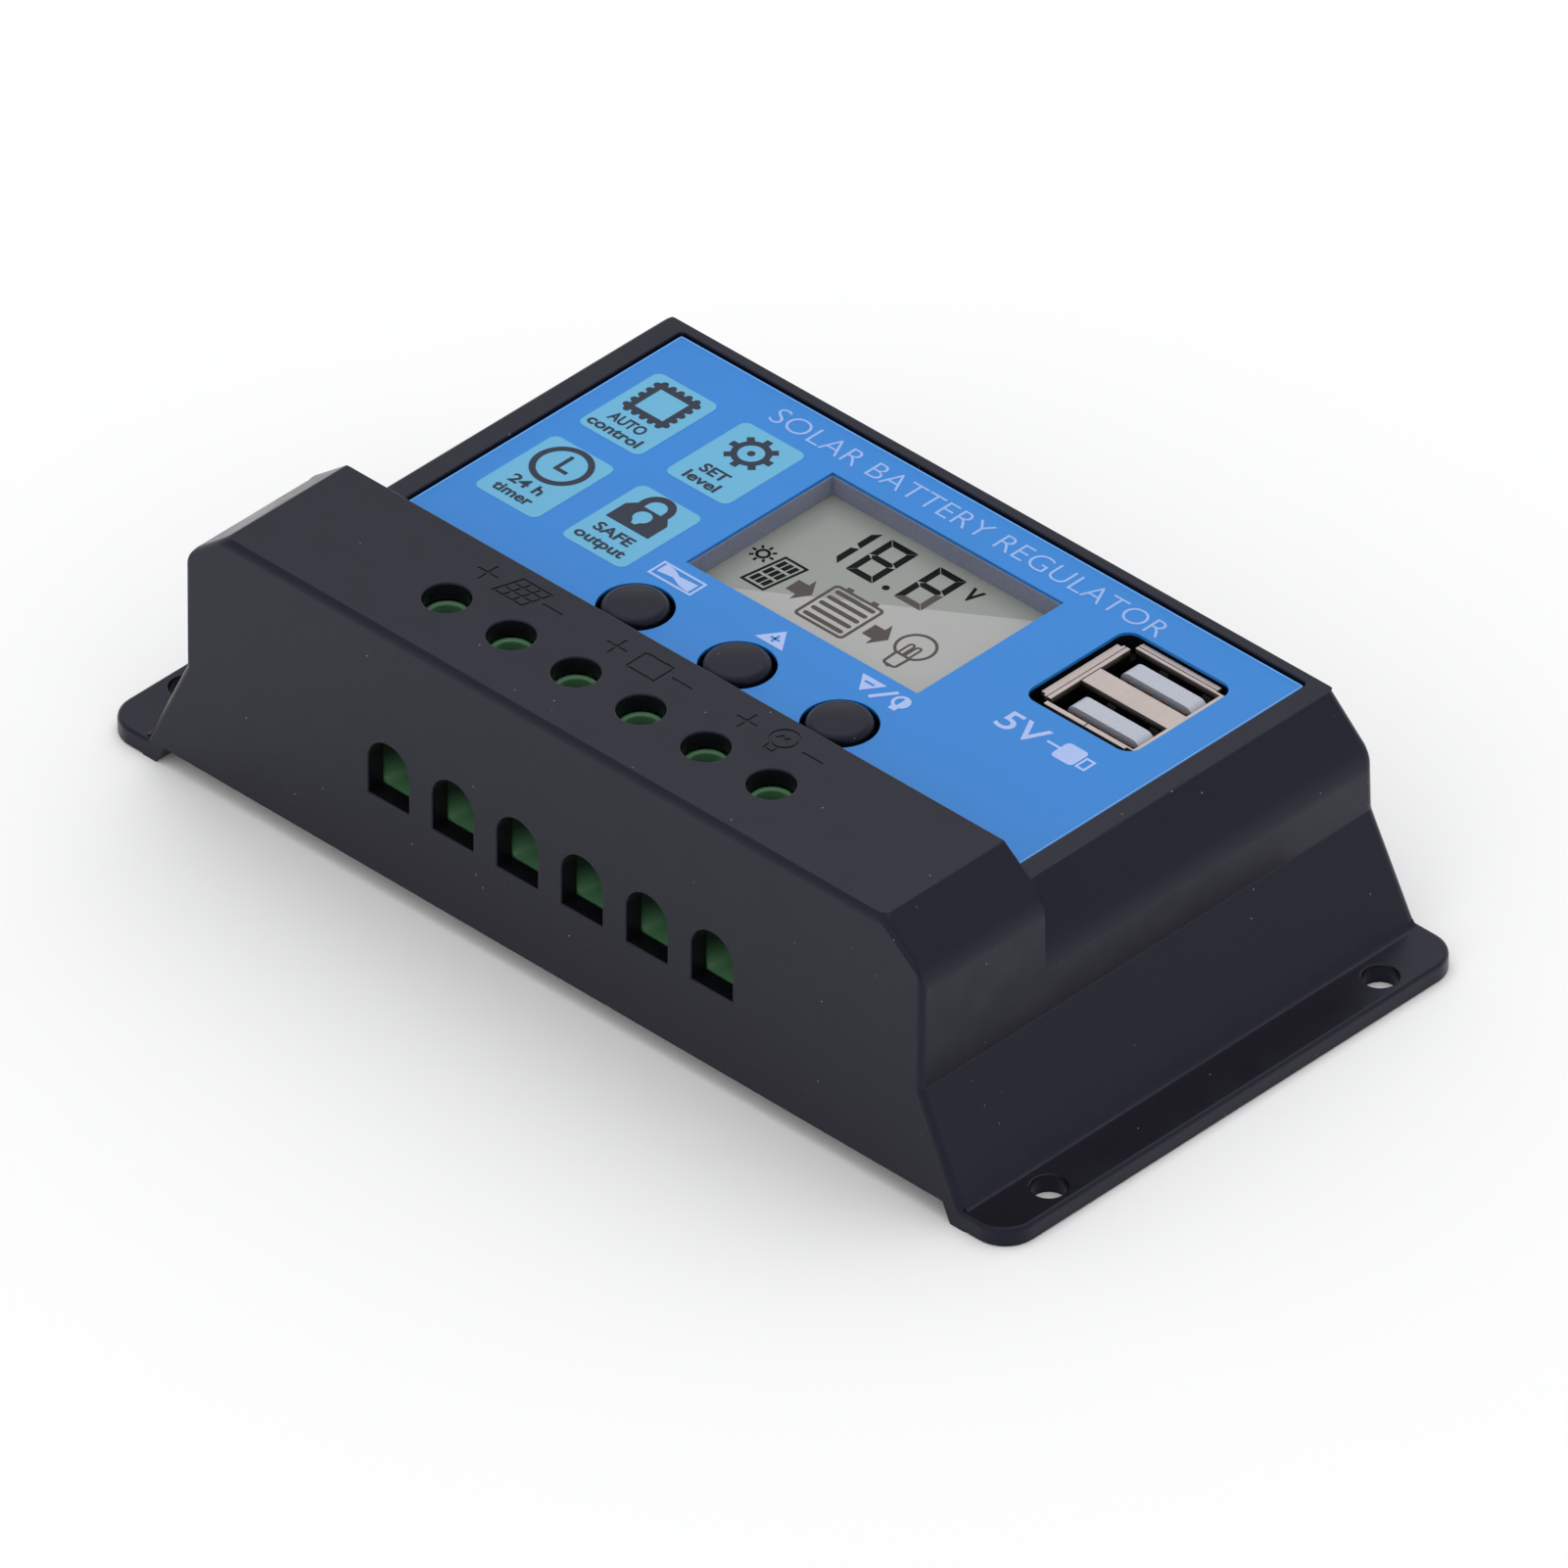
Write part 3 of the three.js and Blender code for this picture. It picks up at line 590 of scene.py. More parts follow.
MATERIALS = {
    "case_plastic": moulded((0.005, 0.0049, 0.0064), 0.29, wear_and_highlight=0.08, mottle=0.1, specular=0.34,
                            tint=COOL, dust=0.8),
    "button_plastic": moulded((0.004, 0.004, 0.006), 0.31, wear_and_highlight=0.05, specular=0.29, tint=COOL, dust=0.6),
    "switch_plastic": moulded((0.014, 0.014, 0.015), 0.5),
    # green moulding with painted light at the wire-entry sills and painted shade in the wells above; its
    # lighter edges are wear and a painted highlight on the collar rims
    "terminal_plastic": moulded((0.062, 0.165, 0.078), 0.38, mottle=0.1, wear_and_highlight=0.5,
                                sill=(0.0125, 0.0156, 0.0276)),
    "diffuser": moulded((0.72, 0.74, 0.70), 0.35, mottle=0.04),
    "holder_plastic": moulded((0.58, 0.58, 0.54), 0.5, mottle=0.05),
    # the insulator darker deeper in the ports: painted shade
    "usb_plastic": moulded((0.40, 0.42, 0.49), 0.36, mottle=0.05, strength=0.15,
                           depth_shade=(PORT_TOP - 0.0022, PORT_TOP - 0.0006)),
    "capacitor_sleeve": moulded((0.02, 0.03, 0.08), 0.3, mottle=0.05),
    "ferrite": moulded((0.05, 0.045, 0.04), 0.75, grain=0.0005, strength=0.6, mottle=0.2),
    "chip_epoxy": moulded((0.013, 0.013, 0.014), 0.55, grain=0.00015),
    "thermal_rubber": moulded((0.34, 0.39, 0.44), 0.8, mottle=0.08),
    # light grey-blue foam: painted light on the window's wall
    "gasket_foam_painted_light": moulded((0.185, 0.200, 0.270), 0.7, grain=0.0005, mottle=0.35, strength=0.5),
    "base_metal": metal((0.56, 0.57, 0.58), 0.42, (1, 26, 1)),
    "case_screw_steel": metal((0.42, 0.42, 0.43), 0.36, (6, 6, 1)),
    "terminal_screw_steel": metal((0.55, 0.55, 0.53), 0.33, (6, 6, 1)),
    "cage_steel": metal((0.55, 0.55, 0.53), 0.35, (1, 1, 14)),
    "contact_brass": metal((0.72, 0.60, 0.36), 0.34, (1, 1, 12)),
    # the shell darker below its top edge: painted shade
    "usb_nickel": metal((0.52, 0.45, 0.43), 0.42, (14, 1, 1), (PORT_TOP - 0.0008, PORT_TOP - 0.0001)),
    "shunt_alloy": metal((0.50, 0.42, 0.34), 0.4, (18, 1, 1)),
    # darker copper for the port contacts: their copper tone darkened as painted shade
    "port_copper_painted_shade": metal((0.46, 0.27, 0.21), 0.4, (1, 1, 12)),
    "label_film": label_film(),
    "lcd_glass": display_glass(),
    "circuit_board": circuit_board(),
    "pale_ink": ink((0.37, 0.48, 0.80)),
    "title_ink": ink((0.29, 0.43, 0.76)),
    # light blue on the label's edge: a painted highlight
    "painted_edge_highlight": ink((0.17, 0.42, 0.80)),
    "tile_ink": ink((0.115, 0.40, 0.62), ragged=0.03),
    "dark_ink": ink((0.017, 0.025, 0.046), specular=0.25),
    "segment_dye": ink((0.004, 0.004, 0.004), 0.55, specular=0.08),
    "segment_dye_faded": ink((0.078, 0.066, 0.060), 0.5, specular=0.15),
}
for name, material in MATERIALS.items():
    material.name = name


# ---------- housing

def mirrored(right):
    return right + [(-x, z) for x, z in reversed(right)]


def side_outline(top, back=None, edge=None):
    """A level seen from the side. With edge, an arc that deep and high rounds its top front edge."""
    front = [(front_at(top), top)]
    if edge:
        depth, drop = edge
        radius = (depth ** 2 + drop ** 2) / (2 * depth)
        foot = top - drop
        steps = 10
        rises = [drop * (1 - i / steps) for i in range(steps + 1)]
        front = [(front_at(foot + r) + radius - sqrt(radius ** 2 - r ** 2), foot + r) for r in rises]
    rear = [(back_at(z) if back is None else back, z) for z in (0, top)]
    return [(front_at(0), 0)] + rear + front


def case_level(name, end, side):
    """One level of the case: its end outline and its side outline crossed."""
    level = make(name, along_y(end, -BEYOND, BEYOND))
    return combine(level, "INTERSECT", [along_x(side, -BEYOND, BEYOND)])


def level_round(top, chamfer_z, back):
    """Widths of the rounded edges of one level, by where the edge lies."""
    crisp, slight, front_corner, shoulder = 0.12, 0.2, 0.8, 2.3
    back_corner = 1.1 if back is None else 0.25
    near = 0.1

    def width(a, b):
        z = min(a.z, b.z)
        if max(a.z, b.z) < EAR_TOP:
            return 0.0
        if abs(a.y - b.y) > 1.5:  # runs from front to back
            if z > top - near:
                return slight
            return shoulder if z > chamfer_z - near else crisp
        behind = a.y > 0 or (back is not None and a.y > back - near)
        if abs(a.z - b.z) < 0.05:  # runs across, level
            if behind:
                return slight
            return crisp if z > top - near else 0.0
        return back_corner if behind else front_corner
    return width


def inset(points, wall_of):
    """A convex outline with each edge moved in by its own wall."""
    lines = []
    for i, p in enumerate(points):
        q = points[(i + 1) % len(points)]
        length = hypot(q[0] - p[0], q[1] - p[1])
        normal = (-(q[1] - p[1]) / length, (q[0] - p[0]) / length)
        lines.append((normal, normal[0] * p[0] + normal[1] * p[1] + wall_of(p, q)))
    corners = []
    for i, (n, d) in enumerate(lines):
        m, e = lines[i - 1]
        det = m[0] * n[1] - m[1] * n[0]
        corners.append(((e * n[1] - d * m[1]) / det, (m[0] * d - n[0] * e) / det))
    return corners


def hollow(end, roof, back=None):
    """The room inside one level, open at the bottom."""
    def wall(p, q):
        if p[1] == 0 and q[1] == 0:
            return -1
        return roof if p[1] == q[1] else SIDE_WALL
    inner = inset(end, wall)
    front = [(x, front_at(z) + END_WALL, z) for x, z in inner]
    rear = [(x, (back_at(z) if back is None else back) - END_WALL, z) for x, z in inner]
    return loft([front, rear])


def mouth(flare):
    """A rounded mouth from inside out: how much wider it is, and how far out it has come."""
    angles = [radians(30 * step) for step in range(4)]
    return [(flare * (1 - cos(a)), flare * (sin(a) - 1)) for a in angles] + [(flare + 1, 1)]


def flared(outline_at, z_in, z_top, flare):
    """A cutting tool that goes down to z_in and opens with a rounded mouth at z_top."""
    rings = [[(x, y, z_in) for x, y in outline_at(0)]]
    for grow, out in mouth(flare):
        rings.append([(x, y, z_top + out) for x, y in outline_at(grow)])
    return loft(rings)


def arch(x, grow):
    half = SLOT_HALF + grow
    sill = SLOT_SILL - grow
    return [(x - half, sill), (x + half, sill)] + arc(x, SLOT_SPRING, half, 0, 180, 20)


def wire_slot(x):
    """The arched wire entry, its mouth rounded along the leaning wall."""
    rings = [[(px, SLOT_DEEP, pz) for px, pz in arch(x, 0)]]
    for grow, out in mouth(0.2):
        rings.append([(px, front_at(pz) - out, pz) for px, pz in arch(x, grow)])
    return loft(rings)


def ear_cove(side):
    """Concave fillet where the sloped side runs out into the ear."""
    lean = atan2(SLOPE_TOP - CREASE_Z, CREASE_HALF - SIDE_HALF)
    radius = 1.1
    foot_x = side_at(EAR_TOP)
    start_x = foot_x + radius * tan(lean / 2)
    buried = EAR_TOP - 0.5
    length = CASE_DEPTH - 0.6
    outline = arc(start_x, EAR_TOP + radius, radius, -90, -90 - degrees(lean), 6)
    outline += [(foot_x - 2, EAR_TOP + 1), (foot_x - 1, buried), (start_x, buried)]
    return along_y([(side * x, z) for x, z in outline], -length, length)


def minus_mark(x):
    return [stroke((x - 1.45, MARK_Y), (x + 1.45, MARK_Y))]


def plus_mark(x):
    return minus_mark(x) + [stroke((x, MARK_Y - 1.5), (x, MARK_Y + 1.5))]


def panel_mark(x):
    """A tilted solar panel: a slanted grid."""
    def at(u, v):
        return x + u * 2.1 + v * 0.55, MARK_Y + v * 1.75
    places, over = (-1, -0.33, 0.33, 1), 1.08
    return ([stroke(at(u, -1), at(u, 1)) for u in places]
            + [stroke(at(-over, v), at(over, v)) for v in places])


def battery_mark(x):
    half, low, high = 2, MARK_Y - 1.75, MARK_Y + 1.3
    corners = box_outline(x - half, x + half, low, high)
    lugs = [block(x + s - 0.3, x + s + 0.3, high, high + 0.22) for s in (-1.1, 1.1)]
    return path(corners + corners[:1]) + lugs


def bulb_mark(x):
    y, radius, half, low = MARK_Y + 0.45, 1.75, 0.6, MARK_Y - 2.1
    foot = [(x - half, low + 1), (x - half, low), (x + half, low), (x + half, low + 1)]
    coil = [(x + u, y + v) for u, v in ((-0.8, -0.4), (-0.4, 0.4), (0, -0.3), (0.4, 0.4), (0.8, -0.4))]
    return [ring(x, y, radius, radius - MARK_WIDTH, 32)] + path(foot) + path(coil)


def screw_boss(body, node, radius, low, roof, bore, bore_top):
    """A boss that hangs from the roof over a screw, with the screw's blind hole."""
    at = centre(node)
    unite(body, rod(at.x, at.y, radius, low, roof + 1, 32))
    carve(body, rod(at.x, at.y, bore, 0, bore_top, 24))


def housing():
    low_end = [(side_at(0), 0), (SIDE_HALF, SLOPE_TOP)]
    deck_end = mirrored(low_end + [(SIDE_HALF, RIM_CHAMFER), (RIM_TOP_HALF, RIM_TOP)])
    hump_end = mirrored(low_end + [(SIDE_HALF, HUMP_CHAMFER), (HUMP_TOP_HALF, CASE_TOP)])
    body = case_level("case_shell", deck_end, side_outline(RIM_TOP))
    bevel_by(body, level_round(RIM_TOP, RIM_CHAMFER, None), 5)
    hump = case_level("hump", hump_end, side_outline(CASE_TOP, HUMP_BACK, FRONT_EDGE))
    bevel_by(hump, level_round(CASE_TOP, HUMP_CHAMFER, HUMP_BACK), 5)
    ears = make("ears", slab(rounded(-CASE_HALF, CASE_HALF, -CASE_DEPTH, CASE_DEPTH, EAR_CORNER),
                             0, EAR_TOP))
    bevel_by(ears, lambda a, b: 0.0 if abs(a.z - b.z) > 1 else (0.5 if a.z > 1 else 0.25), 3)

    carve(body, flared(lambda g: rounded(-RECESS_HALF - g, RECESS_HALF + g, HUMP_BACK - 2, RECESS_BACK + g,
                                         0.6 + g), LABEL_FLOOR, RIM_TOP, 0.22))
    unite(body, hump, ears, ear_cove(1), ear_cove(-1))
    foot_half, flank = side_at(FOOT) - SIDE_WALL * 1.1, 1.6
    channel = along_y([(-foot_half - flank, -1), (foot_half + flank, -1), (foot_half, FOOT),
                       (-foot_half, FOOT)], -BEYOND, BEYOND)
    roof = LABEL_FLOOR - ROOF
    hump_roof = CASE_TOP - ROOF
    carve(body, hollow(deck_end, RIM_TOP - roof), hollow(hump_end, ROOF, HUMP_BACK), channel)
    plate_top, board_top = span("base_plate")[1].z, span("main_board")[1].z
    for i in range(1, 5):
        node = f"case_screw_{i}"
        screw_boss(body, node, 3.2, plate_top, hump_roof if centre(node).y < 0 else roof, 1.6, 13)
    for i in (1, 2):
        screw_boss(body, f"board_screw_{i}", 2.8, board_top, roof, 1.3, 18)
    inside = 20  # a height in the hollow under every opening of the top
    carve(body, block(*WINDOW, inside, CASE_TOP), slab(rounded(*USB_CUT, USB_CUT_R), inside, CASE_TOP))
    carve(body, *[rod(at.x, at.y, BUTTON_HOLE, inside, LABEL_TOP + 2, 80) for at in BUTTONS.values()])
    for at in SCREWS.values():
        carve(body, flared(lambda g: circle(at.x, SCREW_Y, ACCESS_HOLE + g), hump_roof - 1, CASE_TOP, 0.25),
              wire_slot(at.x))
    for x in (-EAR_HOLE_X, EAR_HOLE_X):
        for y in (-EAR_HOLE_Y, EAR_HOLE_Y):
            carve(body, flared(lambda g: circle(x, y, EAR_HOLE + g, 48), -1, EAR_TOP, 0.2))
    marks = []
    for i, at in SCREWS.items():
        marks += plus_mark(at.x) if i % 2 else minus_mark(at.x)
    marks += panel_mark(-18.7) + battery_mark(0.3) + bulb_mark(19.3)
    carve(body, *raised(marks, CASE_TOP - MARK_DEPTH, CASE_TOP + 1))
    finished(body, "case_plastic", "housing")


housing()


# ---------- front label and its print

def label_sheet():
    x = label_high.x
    sheet = make("label_sheet", slab(rounded(-x, x, label_low.y, label_high.y, 0.5), LABEL_FLOOR, LABEL_TOP))
    low, high = LABEL_FLOOR - 1, LABEL_TOP + 1
    carve(sheet, block(*WINDOW, low, high), slab(rounded(*USB_CUT, USB_CUT_R), low, high),
          *[rod(at.x, at.y, BUTTON_HOLE, low, high, 80) for at in BUTTONS.values()])
    # the rounded edge faces take a light blue: a painted highlight along the label's edge
    bevel_all(sheet, 0.09, trim=True)
    finished(sheet, "label_film", "front_label", trim="painted_edge_highlight")


def on_label(shapes, low=0, high=FILM):
    return raised(shapes, LABEL_TOP + low, LABEL_TOP + high)


def printed(name, shapes, look, slot="label_film"):
    finished(make(name, merged(shapes)), slot, look=look, weighted=False)


def lettering(text, x, y, height, width, weight):
    """Flat letters centred on x, their capitals standing height tall on the line y."""
    curve = bpy.data.curves.new("text", "FONT")
    curve.body = text
    curve.align_x = "CENTER"
    curve.offset = weight
    curve.resolution_u = 6
    obj = placed("text", curve)
    mesh = shown_mesh(obj)
    bpy.data.objects.remove(obj)
    flat = bmesh.new()
    flat.from_mesh(mesh)
    bmesh.ops.remove_doubles(flat, verts=flat.verts, dist=1e-4)
    bmesh.ops.dissolve_limit(flat, angle_limit=0.01, verts=flat.verts, edges=flat.edges)
    top = bmesh.ops.extrude_face_region(flat, geom=flat.faces[:])
    for v in top["geom"]:
        if isinstance(v, bmesh.types.BMVert):
            v.co.z += 1
    capital = 0.729  # height of the font's capitals at size 1
    tall = height / capital
    across = [v.co.x for v in flat.verts]
    wide = width / (max(across) - min(across))
    middle = (max(across) + min(across)) / 2
    flat.verts.ensure_lookup_table()
    points = [((v.co.x - middle) * wide + x, v.co.y * tall + y, v.co.z) for v in flat.verts]
    faces = [tuple(v.index for v in f.verts) for f in flat.faces]
    flat.free()
    return points, faces


def chip_icon(x, y):
    """A thick square frame with a scalloped outer edge, like a chip with its legs."""
    half, reach, pitch, lobe = 2.85, 2.95, 1.18, 0.42
    shapes = [band(box_outline(x - half, x + half, y - half, y + half),
                   box_outline(x - 2.1, x + 2.1, y - 2.05, y + 2.05))]
    for k in range(-2, 3):
        for s in (-1, 1):
            shapes.append(slab(circle(x + k * pitch, y + s * reach, lobe, 16)))
            shapes.append(slab(circle(x + s * reach, y + k * pitch, lobe, 16)))
    return shapes


def rays(x, y, inner, outer, width):
    """Eight short strokes round a point."""
    turns = [(cos(k * pi / 4), sin(k * pi / 4)) for k in range(8)]
    return [stroke((x + inner * c, y + inner * s), (x + outer * c, y + outer * s), width) for c, s in turns]


def gear_icon(x, y):
    hub = slab(circle(x, y, 0.45, 32))
    return [ring(x, y, 2.25, 1.5), hub] + rays(x, y, 2.1, 2.95, 0.85)


def clock_icon(x, y):
    hand = 0.5
    return [ring(x, y, 3.55, 2.8),
            stroke((x - 0.25, y - 0.85), (x - 0.25, y + 2.0), hand),
            stroke((x - 0.45, y - 0.65), (x + 1.35, y - 0.65), hand)]


def lock_icon(x, y):
    """A padlock: a body with cut top corners and a keyhole, under a bow."""
    half, shoulder, top = 3.1, y - 0.4, y + 0.5
    body = slab([(x - half, y - 3.4), (x + half, y - 3.4), (x + half, shoulder), (x + 2.3, top),
                 (x - 2.3, top), (x - half, shoulder)])
    keyhole = slab(arc(x, y - 1.0, 1.1, -60, 240, 24) + [(x - 0.28, y - 2.5), (x + 0.28, y - 2.5)], -1, 2)
    bows = [[(x + r, y + 0.4)] + arc(x, y + 1.1, r, 0, 180, 16) + [(x - r, y + 0.4)] for r in (2.2, 1.25)]
    return [as_shape(carve(make("lock", body), keyhole)), band(*bows)]


def label_print():
    left, right = -38.3, -25.35
    # place of each tile, its icon, the icon's place, and two words with their widths and heights
    tiles = (((left, 19.6), chip_icon, (left - 0.05, 21.7), ("AUTO", 5.0, 16.1), ("control", 7.4, 14.1)),
             ((right, 19.6), gear_icon, (right, 22.0), ("SET", 3.7, 16.1), ("level", 4.7, 14.1)),
             ((left, 3.8), clock_icon, (left, 6.4), ("24 h", 4.6, 0.75), ("timer", 5.4, -1.35)),
             ((right, 3.8), lock_icon, (right - 0.3, 6.7), ("SAFE", 5.3, 0.75), ("output", 7.0, -1.35)))
    icons, text = [], []
    for at, icon, place, *words in tiles:
        icons.append(fused(icon(*place)))
        text += [lettering(word, at[0] - 0.35, y, 1.55, width, 0.025) for word, width, y in words]
    backs = [slab(rounded(x - 4.6, x + 4.6, y - 6.3, y + 6.3, 1, 6)) for (x, y), *rest in tiles]
    printed("label_tiles", on_label(backs, -2 * SUNK), "tile_ink")
    printed("label_icons", on_label(icons, 0, 2 * FILM) + on_label(text, FILM, 2 * FILM), "dark_ink")
    # a thin light blue line just inside the label's edge: a painted highlight
    x, y0, y1 = label_high.x - 0.08, label_low.y + 0.08, label_high.y - 0.08
    printed("label_edge_highlight", on_label([framed(-x, x, y0, y1, 0.13)], -SUNK, FILM / 2), "painted_edge_highlight")
    title = lettering("SOLAR BATTERY REGULATOR", 0, 27.7, 2.95, 57.2, -0.012)
    printed("label_title", on_label([title]), "title_ink")
    printed("label_keys", on_label(key_symbols(), -SUNK), "pale_ink")
    volts = lettering("5V", 29.5, 4.9, 3.3, 6.0, 0.01)
    power = on_label(plug_symbol(), -SUNK) + on_label([volts], -SUNK, FILM - SUNK)
    printed("label_power", power, "pale_ink")
    printed("label_key_signs", on_label(key_signs(), FILM - SUNK, 2 * FILM), "label_film")


def key_symbols():
    """Marks over the three buttons: battery mode, up, and down with lamp."""
    x0, x1, y0, y1 = -18.5, -12.2, -0.95, 1.8
    flash = slab([(x0 + 0.6, y1 - 0.25), (x0 + 2.0, y1 - 0.45), (x0 + 3.1, y1 - 1.0),
                  (x1 - 0.6, y0 + 1.95), (x1 - 0.65, y0 + 0.35), (x1 - 2.0, y0 + 0.5),
                  (x0 + 2.7, y0 + 1.15), (x0 + 0.6, y0 + 0.85)])
    up = slab([(-2.35, -1.25), (1.7, -1.25), (-0.33, 1.6)])
    down = slab([(10.6, 1.85), (14.1, 1.85), (12.35, -0.65)])
    slash = stroke((15.75, 1.9), (13.85, -0.75), 0.5)
    x, y = 17.1, 0.85
    lamp = fused([ring(x, y, 1.1, 0.7, 32),
                  slab([(x, y + 0.85)] + arc(x, y, 0.85, 90, -90, 12)),
                  block(x - 0.45, x + 0.5, y - 1.6, y - 0.95)])
    return [framed(x0, x1, y0, y1, 0.3), flash, up, down, slash, lamp]


def key_signs():
    """The plus and the minus left open in the triangles, shown as film-blue strokes."""
    ends = [((-0.95, -0.2), (0.3, -0.2)), ((-0.33, -0.82), (-0.33, 0.45)), ((11.7, 1.0), (13.0, 1.0))]
    return [stroke(p, q, 0.28) for p, q in ends]


def plug_symbol():
    """A plug outline on the line of the voltage under the ports."""
    return [slab(rounded(34.7, 37.8, 5.0, 8.0, 0.6, 5)),
            framed(38.0, 39.4, 5.3, 7.3, 0.3),
            block(32.9, 34.7, 6.4, 6.75)]


label_sheet()
label_print()


# ---------- display

DIGIT_HALF = 1.95
DIGIT_TALL = 7.15
BAR = 0.84


def digit_bars(x, y, lit):
    """Seven-bar digit with its lower left corner at x, y; lit names its bars in the usual a to g order."""
    w, h, t, gap = 2 * DIGIT_HALF, DIGIT_TALL, BAR, 0.07
    half = h / 2
    level = [(gap, 0), (t + gap, t), (w - t - gap, t), (w - gap, 0)]
    upright = [(0, gap), (0, half - gap), (t, half - t / 2 - gap), (t, t + gap)]
    middle = [(t / 2, half), (t, half + t / 2), (w - t, half + t / 2), (w - t / 2, half),
              (w - t, half - t / 2), (t, half - t / 2)]
    # each bar's outline, and whether it is mirrored to the right and to the top
    bars = {"a": (level, 0, 1), "b": (upright, 1, 1), "c": (upright, 1, 0), "d": (level, 0, 0),
            "e": (upright, 0, 0), "f": (upright, 0, 1), "g": (middle, 0, 0)}
    return [slab([(x + (w - u if right else u), y + (h - v if top else v)) for u, v in line])
            for line, right, top in (bars[name] for name in lit)]


def capsule(x0, x1, y, thick):
    r = thick / 2
    return slab(arc(x1 - r, y, r, -90, 90, 6) + arc(x0 + r, y, r, 90, 270, 6))


def sun_icon(x, y):
    return [ring(x, y, 0.85, 0.52, 32)] + rays(x, y, 1, 1.5, 0.3)


def panel_icon(x, y):
    """A leaning framed panel of three by three cells, its lower left corner at x, y."""
    tall, wide, lean = 6.1, 3.45, 0.95

    def patch(u0, u1, v0, v1):
        return [(x + u * wide + v * lean, y + v * tall) for u, v in box_outline(u0, u1, v0, v1)]
    cells = []
    for row in range(3):
        for column in range(3):
            u, v = 0.175 + 0.24 * column, 0.115 + 0.28 * row
            cells.append(slab(patch(u, u + 0.17, v, v + 0.21)))
    return [band(patch(0, 1, 0, 1), patch(0.09, 0.91, 0.05, 0.95))] + cells


def arrow_icon(x, y):
    return [slab([(x, y - 1), (x + 1.45, y - 1), (x + 1.55, y - 2.0), (x + 2.85, y + 0.05),
                  (x + 1.45, y + 2.15), (x + 1.45, y + 1.05), (x, y + 1.05)])]


def battery_icon(x, y):
    x1, y1, line, margin = x + 7.15, y + 6.9, 0.34, 0.72
    shapes = [band(rounded(x, x1, y, y1, 0.6, 6),
                   rounded(x + line, x1 - line, y + line, y1 - line, 0.35, 6))]
    shapes += [capsule(x + margin, x1 - margin, y + 1.0 + 1.23 * k, 0.58) for k in range(5)]
    return shapes + [block(x + u, x + u + 0.85, y1 - 0.02, y1 + 0.45) for u in (1.3, 4.95)]


def bulb_icon(x, y):
    """A bulb with a looped filament in its neck."""
    collar = y - 2.0
    neck = [(x - 0.95, collar), (x - 0.85, y - 4.0), (x - 0.55, y - 4.2), (x + 0.55, y - 4.2),
            (x + 0.85, y - 4.0), (x + 0.95, collar)]
    shapes = [band(arc(x, y, 2.4, -62, 242, 40), arc(x, y, 2.07, -60, 240, 40))] + path(neck, 0.32)
    shapes += [stroke(neck[0], neck[-1], 0.26), block(x - 0.25, x + 0.25, y - 4.5, y - 4.3)]
    for s in (-1, 1):
        loop = [(0.15, -2.0), (0.15, -0.1), (0.35, 0.15), (0.65, 0.15), (0.8, -0.1), (0.8, -2.0)]
        shapes += path([(x + s * u, y + v) for u, v in loop], 0.24)
    return shapes


def display():
    low, high = span("lcd_glass")
    glass = make("display_glass", block(low.x, high.x, low.y, high.y, low.z, high.z))
    bevel_all(glass, 0.12)
    finished(glass, "lcd_glass", "lcd_glass")
    x, y, last = -8.45, 16.8, 9.15  # lower left corner of the digits, and how far on the last one is
    dark = digit_bars(x - 3.2, y, "bc") + digit_bars(x + 2.05, y, "abcdefg")
    dark += digit_bars(x + last, y, "abefg") + [slab(circle(x + 7.55, y + 0.45, 0.42, 24))]
    dark += sun_icon(-14.55, 12.65) + panel_icon(-13.4, 7.85)
    faded = digit_bars(x + last, y, "cd") + arrow_icon(-8.5, 10.85) + arrow_icon(2.9, 10.65)
    faded += [fused(battery_icon(-5.05, 7.25)), fused(bulb_icon(8.8, 11.75))]
    dye_top = GLASS_TOP + 0.04
    unit = raised([lettering("V", x + 15.2, y + 4.75, 2.3, 1.75, 0.03)], GLASS_TOP, GLASS_TOP + FILM)
    printed("display_digits", raised(dark, GLASS_TOP, dye_top) + unit, "segment_dye", "lcd_glass")
    printed("display_icons", raised(faded, GLASS_TOP, dye_top), "segment_dye_faded", "lcd_glass")


def display_gasket():
    """Foam strip round the window's wall, from the glass to the label; its light grey-blue is painted light
    on the window's wall.
    """
    strip = make("display_gasket", framed(*WINDOW, 0.18, GLASS_TOP + 0.02, LABEL_FLOOR))
    finished(strip, "thermal_rubber", look="gasket_foam_painted_light")


display()
display_gasket()


# ---------- buttons

def button(name, at):
    low, high = span(f"button_{name}")
    foot, neck, bore, deep = 4.7, 3.72, 1.9, 25.4
    edge_r, crown_rise = 0.95, 0.26
    collar_z, shoulder = low.z + 1, high.z - crown_rise
    rim = neck - edge_r
    dome = [(rim * f, shoulder + crown_rise * (1 - f ** 2)) for f in (0.85, 0.7, 0.5, 0.3, 0.12)]
    profile = [(0, deep), (bore, deep), (bore, low.z), (foot, low.z), (foot, collar_z), (neck, collar_z)]
    profile += arc(rim, shoulder - edge_r, edge_r, 0, 90, 9) + dome + [(0, high.z)]
    cap = make(f"cap_{name}", lathe(profile, at.x, at.y, 96))
    finished(cap, "button_plastic", f"button_{name}", f"button_{name}_key", smooth=40)


for name, at in BUTTONS.items():
    button(name, at)


# ---------- screw terminals

